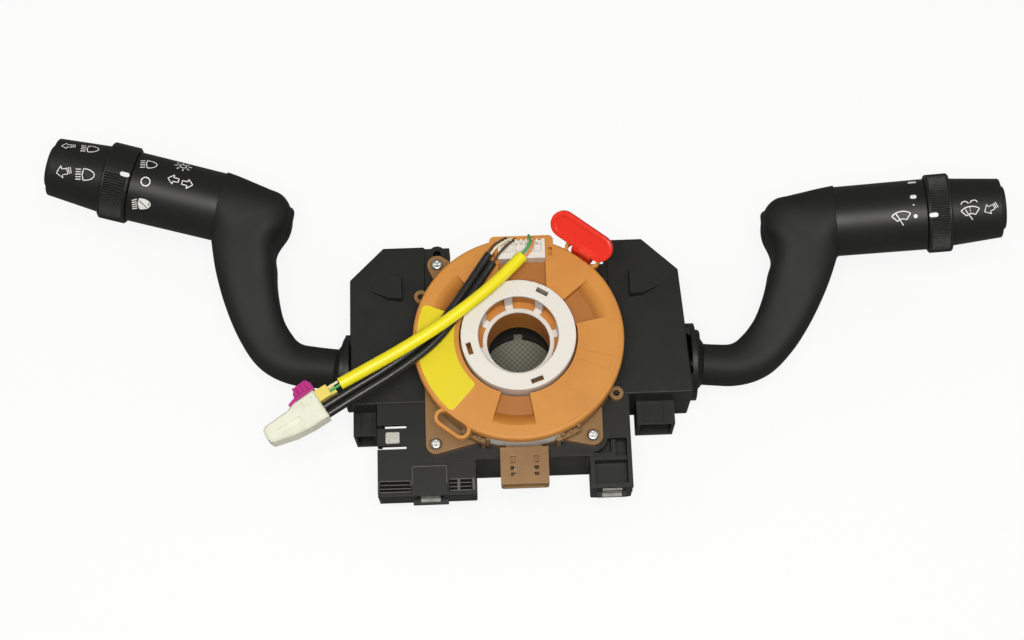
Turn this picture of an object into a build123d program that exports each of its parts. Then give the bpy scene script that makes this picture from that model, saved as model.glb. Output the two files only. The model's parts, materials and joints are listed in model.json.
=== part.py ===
"""Combination stalk switch: carrier, clock spring and two stalk switches.

The unit lies on its back. +Z runs along the steering column axis towards the driver, +Y is up and
+X is to the driver's right. The origin is on the column axis, in the rear face. All sizes are in mm.
Everything that exists on both sides is drawn on the +X side and mirrored for the left stalk.
"""

from build123d import *
from dataclasses import dataclass
from math import atan2, cos, degrees, radians, sin, sqrt, tan
import os

# ---------------------------------------------------------------- driving dimensions
# Column and carrier
COLUMN_R = 19.0            # bore that the column jacket passes through
KEY_WIDTH = 4.6            # keyway at the top of that bore
KEY_TOP = 22.0             # height of the keyway's end above the axis
FRONT_Z = 40.0             # front face of the carrier and of both switch covers
CAVITY_R = 32.0            # well for the cancelling cam, behind the clock spring
WALL = 2.2                 # moulded wall of the carrier and the cases
FRONT_SKIN = 3.0           # front plate of the carrier
BORE_PLATE = 4.0           # rear plate that holds the column bore
CARRIER_X = 46.0           # joint between the carrier and each switch case
CARRIER_TOP = 45.0
BRACE_Y = -54.5            # lower edge between the two lower brackets
BRACE_DEPTH = 22.0         # how far the lower brackets reach back from the front
LEFT_BRACKET = (-71.0, -23.0, -70.0)      # left, right and lower edge
RIGHT_BRACKET = (33.0, 53.5, -70.7)

# Clock spring
CASE_R = 50.5              # outside of the stator case
CASE_TOP = 58.0
CASE_FLOOR = 3.0
EAR_Z = 4.0                # thickness of the three screw ears
DISC_R = 51.5              # rotor cover
DISC_FACE = 64.0
DISC_THICK = 5.4
COLLAR_R = 28.0            # white centre collar
COLLAR_FACE = 68.0
COLLAR_RIM = 7.0           # width of its front rim
COLLAR_FLOOR = 55.0        # front of the inner flange
HUB_R = 15.5               # hole in that flange
SLEEVE_R = 16.0            # bore of the sleeve behind it
SLEEVE_WALL = 2.5
SLEEVE_REAR = 30.0
RUNNING_GAP = 0.08         # radial play of a shaft in its bearing
MOVING_GAP = 0.35          # least play between other moving pieces
EAR_ANGLE = 51.9           # direction of the two loops on the disc's rim
LOOP_R = DISC_R + 2.1       # radius on which the loops are centred
ROTOR_TURN = -4.7          # angle at which the disc's pockets stand at rest

# Stalks
PIVOT_Y = -3.7             # point about which each stalk swings and tilts
PIVOT_Z = 24.0
MOUTH = 13.2               # from that point to the mouth of the fixed snout
DOME_R = 19.0              # ball surface on the lever inside the snout
NECK_R = 10.4
BARREL_R = 17.8            # handle barrel
RING_R = 19.7              # knurled ring
HANDLE_LEAN = 9.0          # handle leans this many degrees towards the driver
RING_START = 59.5          # along the handle, from where the arm's centre line meets it
TIP_R = 14.7

# Harness
SLEEVE_YELLOW_R = 3.0
SLEEVE_BLACK_R = 2.0
LEAD_R = 0.65


@dataclass(frozen=True)
class Side:
    """The sizes in which the two stalk switches differ."""

    name: str
    seat_x: float          # plane on which the snout sits
    inset: float           # from that plane back to the pivot
    outline: tuple         # case outline, from the lower inner corner anticlockwise
    park: float            # angle of the lever above the horizontal at rest
    reach: float           # extra length of the lever's neck
    ring_length: float
    handle_length: float   # from the arm's centre line to the tip
    socket_x: tuple        # connector shroud, nearest and farthest X

    @property
    def pivot_x(self):
        return self.seat_x - self.inset


LEFT = Side("left", 84.6, 7.8,
            ((CARRIER_X, -25.0), (84.2, -25.0), (84.2, 40.7), (67.2, 57.5), (CARRIER_X, 57.5)),
            8.5, 5.7, 14.3, 103.2, (72.5, 84.0))
RIGHT = Side("right", 86.2, 9.3,
             ((CARRIER_X, -24.0), (86.0, -24.0), (82.0, 41.0), (64.3, 58.0), (CARRIER_X, 58.0)),
             -5.5, 0.1, 9.3, 98.6, (58.0, 77.0))


# ---------------------------------------------------------------- helpers
def tube(outer, inner, z0, z1):
    """Ring about Z between two heights; inner 0 gives a plain disc."""
    body = Pos(0, 0, z0) * Cylinder(outer, z1 - z0, align=(Align.CENTER, Align.CENTER, Align.MIN))
    if inner:
        hole = Cylinder(inner, z1 - z0 + 2, align=(Align.CENTER, Align.CENTER, Align.MIN))
        body -= Pos(0, 0, z0 - 1) * hole
    return body


def block(x0, x1, y0, y1, z0, z1):
    """Box between two corners."""
    return Pos((x0 + x1) / 2, (y0 + y1) / 2, (z0 + z1) / 2) * Box(x1 - x0, y1 - y0, z1 - z0)


def prism(points, z0, z1, corner=0.0):
    """Outline drawn in plan, raised between two heights, with rounded corners."""
    face = make_face(Polyline(*points, close=True))
    if corner:
        face = fillet(face.vertices(), corner)
    return extrude(Pos(0, 0, z0) * face, z1 - z0)


def shell_walls(points, wall, z0, z1, corner):
    """The walls alone of an outline."""
    face = fillet(make_face(Polyline(*points, close=True)).vertices(), corner)
    inner = offset(face, amount=-wall)
    return extrude(Pos(0, 0, z0) * (face - inner), z1 - z0)


def rod(start, direction, radius, length):
    """Cylinder from a point along a direction."""
    return Plane(start, z_dir=direction) * Cylinder(radius, length, align=(Align.CENTER, Align.CENTER, Align.MIN))


def sector(r0, r1, angle, width, z0, z1):
    """Piece of a ring, centred on an angle in degrees."""
    far = r1 / cos(radians(width / 2)) * 1.05
    half = radians(width / 2)
    wedge = prism([(0, 0), (far * cos(half), -far * sin(half)), (far * cos(half), far * sin(half))], z0, z1)
    return Rot(0, 0, angle) * (tube(r1, r0, z0, z1) & wedge)


def polar(radius, angle):
    """Point in plan at a radius and an angle in degrees."""
    return radius * cos(radians(angle)), radius * sin(radians(angle))


def stadium(length, width, z0, z1):
    """Oblong with round ends, along X."""
    return extrude(Pos(0, 0, z0) * SlotOverall(length, width), z1 - z0)


def cord(route, radius):
    """Straight runs joined by tangent arcs, each as large as its two runs allow."""
    points = [Vector(*p) for p in route]
    radii = []
    for before, here, after in zip(points, points[1:], points[2:]):
        turn = (here - before).get_angle(after - here)
        shorter = min((here - before).length, (after - here).length)
        radii.append(0.45 * shorter / tan(radians(turn) / 2))
    print("arc radii", [round(r, 1) for r in radii])
    path = FilletPolyline(*points, radius=radii) if radii else Line(points[0], points[1])
    return sweep(Plane(points[0], z_dir=points[1] - points[0]) * Circle(radius), path=path)


def on_side(side, body):
    """Moves a piece drawn on the +X side to its own side."""
    return mirror(body, about=Plane.YZ) if side is LEFT else body


def at_pivot(side, body):
    """Places a piece drawn about the pivot, with +X along the neck, into the unit."""
    return on_side(side, Pos(side.pivot_x, PIVOT_Y, PIVOT_Z) * Rot(0, 0, side.park) * body)


NODES = {}


def keep(name, body):
    """Files one finished piece under its name."""
    NODES[name] = body


# ---------------------------------------------------------------- carrier
EAR_SCREWS = ((-39.7, 46.0), (-42.0, -47.1), (34.8, -45.3))
SCREW_R = 1.75
SCREW_HEAD_R = 2.9
SCREW_LENGTH = 12.0
LUG = (-39.8, 53.4)        # lug with a locating hole beside the upper left ear
LUG_R = 4.2
LUG_HOLE_R = 2.0
BOSS_R = 4.2
HOOK_Y = (-14.0, 26.0)      # height of the two hooks that hold each switch case
HOOK_PLAY = 0.1
PAWL_PLAY = 0.1


def hook(x, y, play=0.0):
    """Hook that reaches through the carrier's side wall and drops behind it."""
    deep = WALL + 2.4
    inward = -1 if x > 0 else 1
    near, far = sorted((x, x + inward * deep))
    neck = block(near, far, y - 5 - play, y + 5 + play, 12 - play, 20 + play)
    near, far = sorted((x + inward * (WALL + 0.15 - 2 * play), x + inward * deep))
    return neck + block(near, far, y - 5 - play, y + 5 + play, 9.5 - play, 20 + play) if not play else neck


def carrier_outline():
    l0, l1, l2 = LEFT_BRACKET
    r0, r1, r2 = RIGHT_BRACKET
    low_left, low_right = LEFT.outline[0][1], RIGHT.outline[0][1]
    return [(-CARRIER_X, CARRIER_TOP), (-CARRIER_X, low_left), (l0, low_left), (l0, l2), (l1, l2),
            (l1, BRACE_Y), (r0, BRACE_Y), (r0, r2), (r1, r2), (r1, low_right), (CARRIER_X, low_right),
            (CARRIER_X, CARRIER_TOP)]


def carrier_moulding():
    """Open-backed moulding: front plate, walls, cam well and the plate with the keyed column bore."""
    centre = [(-CARRIER_X, CARRIER_TOP), (-CARRIER_X, BRACE_Y), (CARRIER_X, BRACE_Y), (CARRIER_X, CARRIER_TOP)]
    outline = carrier_outline()
    body = prism(outline, FRONT_Z - FRONT_SKIN, FRONT_Z)
    body += shell_walls(outline, WALL, FRONT_Z - BRACE_DEPTH, FRONT_Z, 1.0)
    body += shell_walls(centre, WALL, 0, FRONT_Z, 1.0)
    body += tube(CAVITY_R + WALL, 0, 0, FRONT_Z)
    rib = block(CAVITY_R, CARRIER_X - WALL / 2, -WALL / 2, WALL / 2, 6, FRONT_Z - FRONT_SKIN)
    for angle in (0, 180):
        body += Rot(0, 0, angle) * rib
    for angle, run in ((90, CARRIER_TOP), (270, -BRACE_Y)):
        spoke = block(CAVITY_R, run - WALL / 2, -WALL / 2, WALL / 2, 6, FRONT_Z - FRONT_SKIN)
        body += Rot(0, 0, angle) * spoke
    for x, y in EAR_SCREWS[1:]:
        body += Pos(x, y, 0) * tube(BOSS_R, 0, FRONT_Z - SCREW_LENGTH, FRONT_Z)
    x, y = EAR_SCREWS[0]
    body += Pos(x, y, 0) * tube(BOSS_R + 2, 0, FRONT_Z - SCREW_LENGTH, FRONT_Z)
    body += block(-CARRIER_X, x + BOSS_R + 2, CARRIER_TOP - 2, LUG[1] + 3, FRONT_Z - SCREW_LENGTH, FRONT_Z)
    body += Pos(*LUG, 0) * tube(LUG_R, 0, FRONT_Z - SCREW_LENGTH, FRONT_Z)
    body = left_bracket(right_bracket(body))
    body -= tube(CAVITY_R, 0, BORE_PLATE, FRONT_Z + 1)
    body -= tube(COLUMN_R, 0, -1, BORE_PLATE + 1)
    body -= block(-KEY_WIDTH / 2, KEY_WIDTH / 2, 0, KEY_TOP, -1, BORE_PLATE + 1)
    body -= Pos(*LUG, 0) * tube(LUG_HOLE_R, 0, 0, FRONT_Z + 1)
    for x, y in EAR_SCREWS:
        body -= Pos(x, y, 0) * tube(SCREW_R + 0.05, 0, FRONT_Z - SCREW_LENGTH + 1, FRONT_Z + 1)
    for x in (-CARRIER_X, CARRIER_X):
        for y in HOOK_Y:
            body -= hook(x, y, HOOK_PLAY)
    return body - cancel_pawl(PAWL_PLAY)


def carrier_pieces():
    """The moulding divided where its walls meet: frame, cam well and the two lower brackets."""
    body = carrier_moulding()
    well = tube(CAVITY_R + WALL, 0, -1, FRONT_Z + 1)
    middle = block(-CARRIER_X, CARRIER_X, BRACE_Y, 2 * CARRIER_TOP, -1, FRONT_Z + 10)
    return {"carrier_frame": (body & middle) - well, "cam_well": body & well, "lower_brackets": body - middle}


SLOT_Y = (-36.6, -47.1)    # the two slits that free the spring tongue
SLOT_WIDTH = 1.8
SLOT_LENGTH = 14.3
LATCH = (-54.2, -36.9, -73.8, -57.2)      # hood that holds the left spring clip
CLIP_SIZE = (9.6, 1.0, 8.0)


def left_bracket(body):
    """Adds the slit tongue, the ribbed foot and the clip hood to the lower left bracket."""
    edge, inner, low = LEFT_BRACKET
    for y in SLOT_Y:
        body -= block(edge - 1, edge + SLOT_LENGTH, y - SLOT_WIDTH / 2, y + SLOT_WIDTH / 2, 0, FRONT_Z + 1)
    tongue = block(edge - 1, edge + WALL + 0.01, SLOT_Y[1], SLOT_Y[0], 0, FRONT_Z - FRONT_SKIN - 3)
    body -= tongue
    x0, x1, y0, y1 = LATCH
    body += block(x0, x1, y0 + 2, y1, FRONT_Z - 14, FRONT_Z + 1.6)
    body -= block(x0 + 2, x1 - 2, y0 + 1, y0 + 10, FRONT_Z - 12, FRONT_Z - 1.2)
    body += block(x0, x1, y0, y0 + 3.4, FRONT_Z - 12, FRONT_Z - 9.4)
    for step in range(4):
        z = FRONT_Z - 2.2 - step * 4.4
        body += block(edge, x0, low - 1.4, low + 1, z - 0.8, z + 0.8)
        body += block(x1, inner, low - 1.4, low + 1, z - 0.8, z + 0.8)
    return body


def right_bracket(body):
    """Turns the lower right bracket into an open channel with a shelf and a clip seat."""
    x0, x1, low = RIGHT_BRACKET
    top = RIGHT.outline[0][1]
    channel = block(x0 + WALL, x1 - WALL, low + WALL, top - WALL, FRONT_Z - FRONT_SKIN - 1, FRONT_Z + 1)
    keep_ear = Pos(*EAR_SCREWS[2], 0) * tube(7.2, 0, 0, FRONT_Z + 1)
    body -= channel - keep_ear - block(x0, x1 - WALL, top - 22, top, 0, FRONT_Z + 1)
    body += block(x0, x1, low, top - WALL, FRONT_Z - 12, FRONT_Z - 10)
    body += block(x0, x1, BRACE_Y - 2, BRACE_Y, FRONT_Z - 12, FRONT_Z - 2)
    body += block(x0 + 3, x1 - 3, low - 2.4, low + 0.5, FRONT_Z - 12, FRONT_Z - 9.5)
    return body


def spring_clip(x, y):
    """U-shaped steel clip that holds the shroud, seated on a ledge, mouth forward."""
    wide, thick, deep = CLIP_SIZE
    leaf = block(x - wide / 2, x + wide / 2, y, y + thick, FRONT_Z - 9.4, FRONT_Z - 9.4 + deep)
    leaf += block(x - wide / 2, x + wide / 2, y - 1.6, y + thick, FRONT_Z - 9.4, FRONT_Z - 8.4)
    return leaf - block(x - wide / 4, x + wide / 4, y - 1, y + 2, FRONT_Z - 5, FRONT_Z - 3)


def pan_screw(x, y, seat, length):
    """Pan-head screw with a cross recess."""
    head = tube(SCREW_HEAD_R, 0, seat, seat + 2.1)
    head = fillet(head.edges().group_by(Axis.Z)[-1], 1.2)
    head -= block(-1.7, 1.7, -0.4, 0.4, seat + 0.9, seat + 3)
    head -= block(-0.4, 0.4, -1.7, 1.7, seat + 0.9, seat + 3)
    return Pos(x, y, 0) * (head + tube(SCREW_R, 0, seat - length, seat + 0.1))


# ---------------------------------------------------------------- switch cases
COVER = 2.0                # thickness of the front covers
LIP = 1.5                  # rim of the cover that drops into the case
TRUNNION_R = 3.0
GIMBAL = (6.5, 9.5, 10.5)  # half sizes of the gimbal block along X, Y and Z
BEARING_R = 4.7
SNOUT_R = 17.4
SNOUT_FLANGE_R = 19.6
SNOUT_FLANGE = 2.4
SEAT_DEPTH = 3.4           # thickness of the boss behind the snout
SOCKET_DEPTH = 12.0        # how far the connector shroud stands below the case
SOCKET_Z = (4.0, 26.0)


def switch_case(side):
    """Open-fronted box with the round seat for the snout and the lower gimbal bearing."""
    top = FRONT_Z - COVER
    body = prism(side.outline, 0, WALL, 1.2)
    body += shell_walls(side.outline, WALL, 0, top, 1.2)
    seat_rear = side.seat_x - SEAT_DEPTH
    seat = rod((seat_rear, PIVOT_Y, PIVOT_Z), (1, 0, 0), SNOUT_FLANGE_R, SEAT_DEPTH)
    body += seat & block(0, 200, -100, 100, 0, top)
    body -= ball_space(side) & block(side.seat_x - 7, 200, -100, 100, WALL, top + 9)
    bearing = PIVOT_Z - GIMBAL[2] - MOVING_GAP
    pivot = Pos(side.pivot_x, PIVOT_Y, 0)
    body += pivot * tube(BEARING_R, 0, 0, bearing)
    body -= pivot * tube(TRUNNION_R + RUNNING_GAP, 0, bearing - 4, bearing + 1)
    x0, x1 = side.socket_x
    low = side.outline[0][1]
    body -= block(x0 + 2, x1 - 2, low - 1, low + WALL + 1, SOCKET_Z[0] + 2, SOCKET_Z[1] - 2)
    for y in HOOK_Y:
        body += hook(CARRIER_X, y)
    return on_side(side, body)


HOOD = (16.3, 12.6, 7.5)   # length, width and height of the ramp on each cover


def cover_hood(tip_x, base_x, y):
    """Boat-shaped ramp: pointed at the outer end, upright at the inner end."""
    length, width, height = HOOD
    plan = prism([(tip_x, y), (tip_x - 0.28 * length, y + 0.42 * width), (tip_x - length / 2, y + width / 2),
                  (base_x, y + width / 2), (base_x, y - width / 2), (tip_x - 0.62 * length, y - 0.44 * width)],
                 FRONT_Z - 0.5, FRONT_Z + height)
    slope = make_face(Polyline((tip_x, FRONT_Z - 0.5), (tip_x, FRONT_Z + 1.2), (base_x, FRONT_Z + height),
                               (base_x, FRONT_Z - 0.5), close=True))
    return plan & extrude(Plane.XZ * slope, 40, both=True)


def switch_cover(side):
    """Front cover with its drop-in lip, upper gimbal bearing, ramp and round dimple."""
    rear = FRONT_Z - COVER
    body = prism(side.outline, rear, FRONT_Z, 1.2)
    body = fillet(body.faces().sort_by(Axis.Z)[-1].edges(), 0.8)
    face = fillet(make_face(Polyline(*side.outline, close=True)).vertices(), 1.2)
    lip = offset(face, amount=-WALL - 0.15) - offset(face, amount=-WALL - 1.6)
    lip = extrude(Pos(0, 0, rear - LIP) * lip, LIP)
    snout = rod((side.seat_x - 9, PIVOT_Y, PIVOT_Z), (1, 0, 0), SNOUT_FLANGE_R + 0.4, 12)
    body += lip - snout
    bearing = PIVOT_Z + GIMBAL[2] + MOVING_GAP
    pivot = Pos(side.pivot_x, PIVOT_Y, 0)
    body += pivot * tube(BEARING_R, 0, bearing, rear + 0.1)
    body -= pivot * tube(TRUNNION_R + RUNNING_GAP, 0, bearing - 1, rear + 0.8)
    hood_y = 34.4 if side is LEFT else 32.8
    hood_tip = 74.0 if side is LEFT else 73.2
    body += cover_hood(hood_tip, hood_tip - HOOD[0], hood_y)
    dimple = (61.0, -18.3) if side is LEFT else (56.4, -20.0)
    body -= Pos(*dimple, 0) * (tube(2.2, 1.5, FRONT_Z - 0.7, FRONT_Z + 1))
    return on_side(side, body)


def ball_arc(radius, x0, x1):
    """Arc of a ball about the origin between two planes across X, in the XY plane."""
    ends = [(x, sqrt(radius ** 2 - x ** 2)) for x in (x0, (x0 + x1) / 2, x1)]
    return ThreePointArc(*ends)


def ball_space(side):
    """Space of the lever's dome and of the snout's mouth, along the resting lever."""
    seat = DOME_R + MOVING_GAP
    mouth_r = sqrt(seat ** 2 - MOUTH ** 2)
    walls = Polyline((MOUTH, mouth_r), (MOUTH + 9, mouth_r), (MOUTH + 9, 0), (-6, 0), (-6, sqrt(seat ** 2 - 36)))
    space = revolve(make_face([ball_arc(seat, -6, MOUTH), walls]), Axis.X)
    return Pos(side.pivot_x, PIVOT_Y, PIVOT_Z) * Rot(0, 0, side.park) * space


def snout(side):
    """Fixed collar whose inside is a ball seat round the lever's dome; it faces along the resting lever."""
    collar = chamfer(rod((0, 0, 0), (1, 0, 0), SNOUT_R, MOUTH).edges().group_by(Axis.X)[-1], 0.8)
    collar = Pos(side.pivot_x, PIVOT_Y, PIVOT_Z) * Rot(0, 0, side.park) * collar
    collar &= block(side.seat_x, 200, -100, 100, -100, 100)
    flange = rod((side.seat_x, PIVOT_Y, PIVOT_Z), (1, 0, 0), SNOUT_FLANGE_R, SNOUT_FLANGE)
    return on_side(side, collar + flange - ball_space(side))


def connector_socket(side):
    """Shroud under the case, open downwards, with keying ribs on its front wall."""
    x0, x1 = side.socket_x
    z0, z1 = SOCKET_Z
    top = side.outline[0][1]
    low = top - SOCKET_DEPTH
    body = block(x0, x1, low, top, z0, z1)
    body -= block(x0 + 1.6, x1 - 1.6, low - 1, top - 2, z0 + 1.6, z1 - 1.6)
    body += block(x0 + 2.4, x1 - 2.4, top - 2, top + WALL + 0.8, z0 + 2.4, z1 - 2.4)
    for x in (x0 + (x1 - x0) * share for share in (0.25, 0.75)):
        body += block(x - 0.8, x + 0.8, low + 1, top - 1, z1 - 0.01, z1 + 1.4)
    return on_side(side, body)


def socket_pins(side):
    """Two rows of flat terminals standing in the shroud."""
    x0, x1 = side.socket_x
    z0, z1 = SOCKET_Z
    top = side.outline[0][1]
    count = 4
    pins = []
    for row in (z0 + 7, z1 - 7):
        for step in range(count):
            x = x0 + (x1 - x0) * (step + 0.5) / count
            if x0 + 2 < x < x1 - 2:
                pin = block(x - 0.4, x + 0.4, top - SOCKET_DEPTH + 5, top - 2, row - 0.4, row + 0.4)
                pins.append(on_side(side, pin))
    return pins


BOARD = 1.6


def circuit_board(side):
    """Contact board on the case floor, notched round the gimbal bearing."""
    x0, x1 = CARRIER_X + WALL + 1, side.seat_x - 8
    y0, y1 = side.outline[0][1] + WALL + 4, 40.0
    body = block(x0, x1, y0, y1, WALL, WALL + BOARD)
    for x, y in ((x0 + 6, y1 - 8), (x0 + 14, y1 - 10), (x0 + 10, y1 - 20)):
        body += block(x - 3, x + 3, y - 2, y + 2, WALL + BOARD - 0.01, WALL + BOARD + 2.2)
    body -= Pos(side.pivot_x, PIVOT_Y, 0) * tube(BEARING_R + 0.5, 0, 0, FRONT_Z)
    return on_side(side, body)


PLUNGER_REACH = 22.0       # from the pivot to the tip of the detent plunger


def detent_block(side):
    """Block with the ball-shaped track that the plunger runs on."""
    deep = side.pivot_x - CARRIER_X - WALL
    body = block(-deep, -PLUNGER_REACH + 4, -9, 9, WALL - PIVOT_Z, 9)
    body -= Sphere(PLUNGER_REACH + MOVING_GAP)
    body = Pos(side.pivot_x, PIVOT_Y, PIVOT_Z) * body
    body -= block(0, 200, -100, 100, 0, WALL + BOARD)
    return on_side(side, body)


# ---------------------------------------------------------------- stalk levers
STEM_R = 4.5
TONGUE_R = 7.0
TONGUE_END = 27.0
STEM_END = -15.0           # inner end of the stem
PLUNGER_R = 2.0
PLUNGER_BORE = 8.0
PIN_R = 1.5
DOME_RIM = 10.6            # distance of the dome's open rim from the pivot


def gimbal(side):
    """Block on two upright trunnions, with a window for the lever's stem."""
    hx, hy, hz = GIMBAL
    body = Box(2 * hx, 2 * hy, 2 * hz)
    body = chamfer(body.edges().filter_by(Axis.X), 1.5)
    body -= Box(2 * hx + 2, 2 * (STEM_R + 0.6), 2 * (STEM_R + 1.7))
    body += tube(TRUNNION_R, 0, hz - 1, hz + 3) + tube(TRUNNION_R, 0, -hz - 3.5, -hz + 1)
    body -= rod((0, -hy - 1, 0), (0, 1, 0), PIN_R + 0.05, 2 * hy + 2)
    return at_pivot(side, body)


def lever_core(side):
    """Dome, stem and tongue in one; the arm slides on to the tongue."""
    neck_x = sqrt(DOME_R ** 2 - NECK_R ** 2)
    rim_r = sqrt(DOME_R ** 2 - DOME_RIM ** 2)
    stem = Polyline((neck_x, NECK_R), (neck_x, TONGUE_R), (TONGUE_END, TONGUE_R), (TONGUE_END, 0), (STEM_END, 0),
                    (STEM_END, STEM_R), (DOME_RIM + 2.4, STEM_R), (DOME_RIM + 2.4, rim_r - 2.6),
                    (DOME_RIM, rim_r - 2.6), (DOME_RIM, rim_r))
    body = revolve(make_face([ball_arc(DOME_R, DOME_RIM, neck_x), stem]), Axis.X)
    body -= rod((STEM_END - 1, 0, 0), (1, 0, 0), PLUNGER_R + 0.05, PLUNGER_BORE + 1)
    body -= rod((0, -10, 0), (0, 1, 0), PIN_R + 0.02, 20)
    return at_pivot(side, body)


def pivot_pin(side):
    """Pin that the lever tilts on, across the gimbal."""
    return at_pivot(side, rod((0, -GIMBAL[1], 0), (0, 1, 0), PIN_R, 2 * GIMBAL[1]))


def detent_plunger(side):
    """Spring-loaded pin in the stem's end, round at its tip."""
    body = rod((-PLUNGER_REACH, 0, 0), (1, 0, 0), PLUNGER_R, PLUNGER_REACH + STEM_END + 4)
    return at_pivot(side, fillet(body.edges().group_by(Axis.X)[0], PLUNGER_R - 0.3))


SPRING_WIRE_R = 0.22


def detent_spring(side):
    """Coil spring behind the plunger, in the stem's bore."""
    start = STEM_END + 4 + SPRING_WIRE_R
    length = STEM_END + PLUNGER_BORE - SPRING_WIRE_R - start
    path = Helix(pitch=length / 3.5, height=length, radius=PLUNGER_R - 2 * SPRING_WIRE_R)
    coil = sweep(Plane(path @ 0, z_dir=path % 0) * Circle(SPRING_WIRE_R), path=path)
    return at_pivot(side, Pos(start, 0, 0) * Rot(0, 90, 0) * coil)


# Stations of the arm: place about the pivot, heading in plan, width and depth of the oval section.
ARM = ((16.2, 0.0, 0.0, 0, 20.8, 20.8),
       (29.0, 0.0, 0.3, 4, 21.0, 20.6),
       (42.5, 4.6, 2.5, 33, 22.8, 21.0),
       (50.2, 14.0, 5.5, 58, 25.0, 22.0),
       (56.2, 27.6, 9.5, 71, 28.0, 24.5),
       (60.3, 41.0, 13.5, 77, 31.0, 27.5),
       (63.2, 56.0, 16.4, 82, 33.0, 29.4),
       (64.2, 70.0, 17.4, 86, 29.5, 26.0))
HANDLE_AT = (64.5, 72.3, 17.6)            # where the arm's centre line meets the handle's axis
HANDLE_SLOPE = 5.0                        # the handle climbs outwards by this angle
HEAD = ((-18.0, 10.2), (-13.8, 12.3), (-2.8, 14.8), (8.7, 16.8), (15.0, 17.6))
SPIGOT_R = 12.0
SPIGOT = 9.0
JOURNAL_R = 12.0
CAP_SPIGOT_R = 9.0


def handle_plane(side):
    """Frame of the handle: Z along its axis from the arm outwards, Y roughly up."""
    x, y, z = HANDLE_AT
    along = Vector(1, 0, 0).rotate(Axis.Y, -HANDLE_LEAN).rotate(Axis.Z, HANDLE_SLOPE)
    across = Vector(0, 1, 0).rotate(Axis.Z, HANDLE_SLOPE)
    return Plane((x + side.reach, y, z), x_dir=across, z_dir=along)


def on_handle(side, body):
    """Places a piece drawn about Z on to the stalk's handle."""
    return at_pivot(side, handle_plane(side) * body)


def lever_arm(side):
    """Swan-neck arm: ovals lofted from the round neck to the tapered head round the barrel."""
    sections = []
    for step, (x, y, z, heading, width, depth) in enumerate(ARM):
        shift = side.reach if step else 0
        direction = Vector(cos(radians(heading)), sin(radians(heading)), 0)
        plane = Plane((x + shift, y, z), x_dir=(-sin(radians(heading)), cos(radians(heading)), 0), z_dir=direction)
        sections.append(plane * Ellipse(width / 2, depth / 2))
    body = loft(sections)
    profile = Spline(*[(r, s) for s, r in HEAD])
    outline = make_face([profile, Line((HEAD[-1][1], HEAD[-1][0]), (0, HEAD[-1][0])),
                         Line((0, HEAD[-1][0]), (0, HEAD[0][0])), Line((0, HEAD[0][0]), (HEAD[0][1], HEAD[0][0]))])
    head = revolve(Plane.XZ * outline, Axis.Z)
    seam = HEAD[-1][0]
    head -= tube(SPIGOT_R + 0.05, 0, seam - SPIGOT, seam + 1)
    head -= tube(5.05, 0, HEAD[0][0] - 1, HEAD[0][0] + 5)
    plane = handle_plane(side)
    cut = plane * tube(SPIGOT_R + 0.05, 0, seam - SPIGOT, seam + 30)
    cut += plane * (tube(5.05, 0, HEAD[0][0] - 6, HEAD[0][0] + 5) + tube(9.0, 0, HEAD[0][0] - 8, HEAD[0][0]))
    beyond = plane * tube(40, 0, seam, seam + 30)
    body = body + plane * head - cut - beyond
    body -= rod((14, 0, 0), (1, 0, 0), TONGUE_R + 0.05, TONGUE_END - 14 + 0.1)
    return at_pivot(side, body)


def elbow_cap(side):
    """Domed plug that closes the inner end of the arm's head."""
    base = HEAD[0][0]
    body = tube(8.6, 0, base - 4.3, base)
    body = fillet(body.edges().group_by(Axis.Z)[0], 3.0)
    return on_handle(side, body + tube(5.0, 0, base - 1, base + 4.9))


def barrel(side):
    """Handle barrel with its spigot in the arm and the journal that the ring turns on."""
    seam = HEAD[-1][0]
    start = RING_START
    end = start + side.ring_length
    body = Pos(0, 0, seam) * Cone(HEAD[-1][1], BARREL_R, start - seam,
                                  align=(Align.CENTER, Align.CENTER, Align.MIN))
    body += tube(SPIGOT_R, 0, seam - SPIGOT + 0.1, seam + 1)
    body += tube(JOURNAL_R, 0, start - 1, end + MOVING_GAP)
    body += tube(CAP_SPIGOT_R, 0, end, end + 12)
    return on_handle(side, body)


RIBS = 48                  # knurls round the ring


def knurled_ring(side):
    """Turning ring with axial grooves between two plain edges."""
    start = RING_START + MOVING_GAP
    end = RING_START + side.ring_length
    body = tube(RING_R, 0, start, end)
    body = chamfer(body.edges().group_by(Axis.Z)[0] + body.edges().group_by(Axis.Z)[-1], 0.7)
    groove = block(RING_R - 0.5, RING_R + 1, -0.35, 0.35, start + 1.4, end - 1.4)
    grooves = [Rot(0, 0, 360 * step / RIBS) * groove for step in range(RIBS)]
    body -= grooves
    return on_handle(side, body - tube(JOURNAL_R + RUNNING_GAP, 0, start - 1, end + 1))


BUTTON_R = 11.0
BUTTON_TRAVEL = 1.5
BUTTON_PROUD = 2.0


def cap_start(side):
    return RING_START + side.ring_length + MOVING_GAP


def end_cap(side):
    """Tapered cap on the handle's end; the right one is open for a push button."""
    start = cap_start(side)
    end = side.handle_length - BUTTON_PROUD
    body = Pos(0, 0, start) * Cone(BARREL_R - 0.6, TIP_R, end - start,
                                   align=(Align.CENTER, Align.CENTER, Align.MIN))
    body = fillet(body.edges().group_by(Axis.Z)[-1], 1.0)
    body -= tube(CAP_SPIGOT_R + 0.05, 0, start - 1, start + 12.2)
    if side is RIGHT:
        body -= tube(BUTTON_R + RUNNING_GAP, 0, end - 4 - BUTTON_TRAVEL, end + 1)
    else:
        body -= tube(BUTTON_R + 0.02, 0, end - 4, end + 1)
    return on_handle(side, body)


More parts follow.
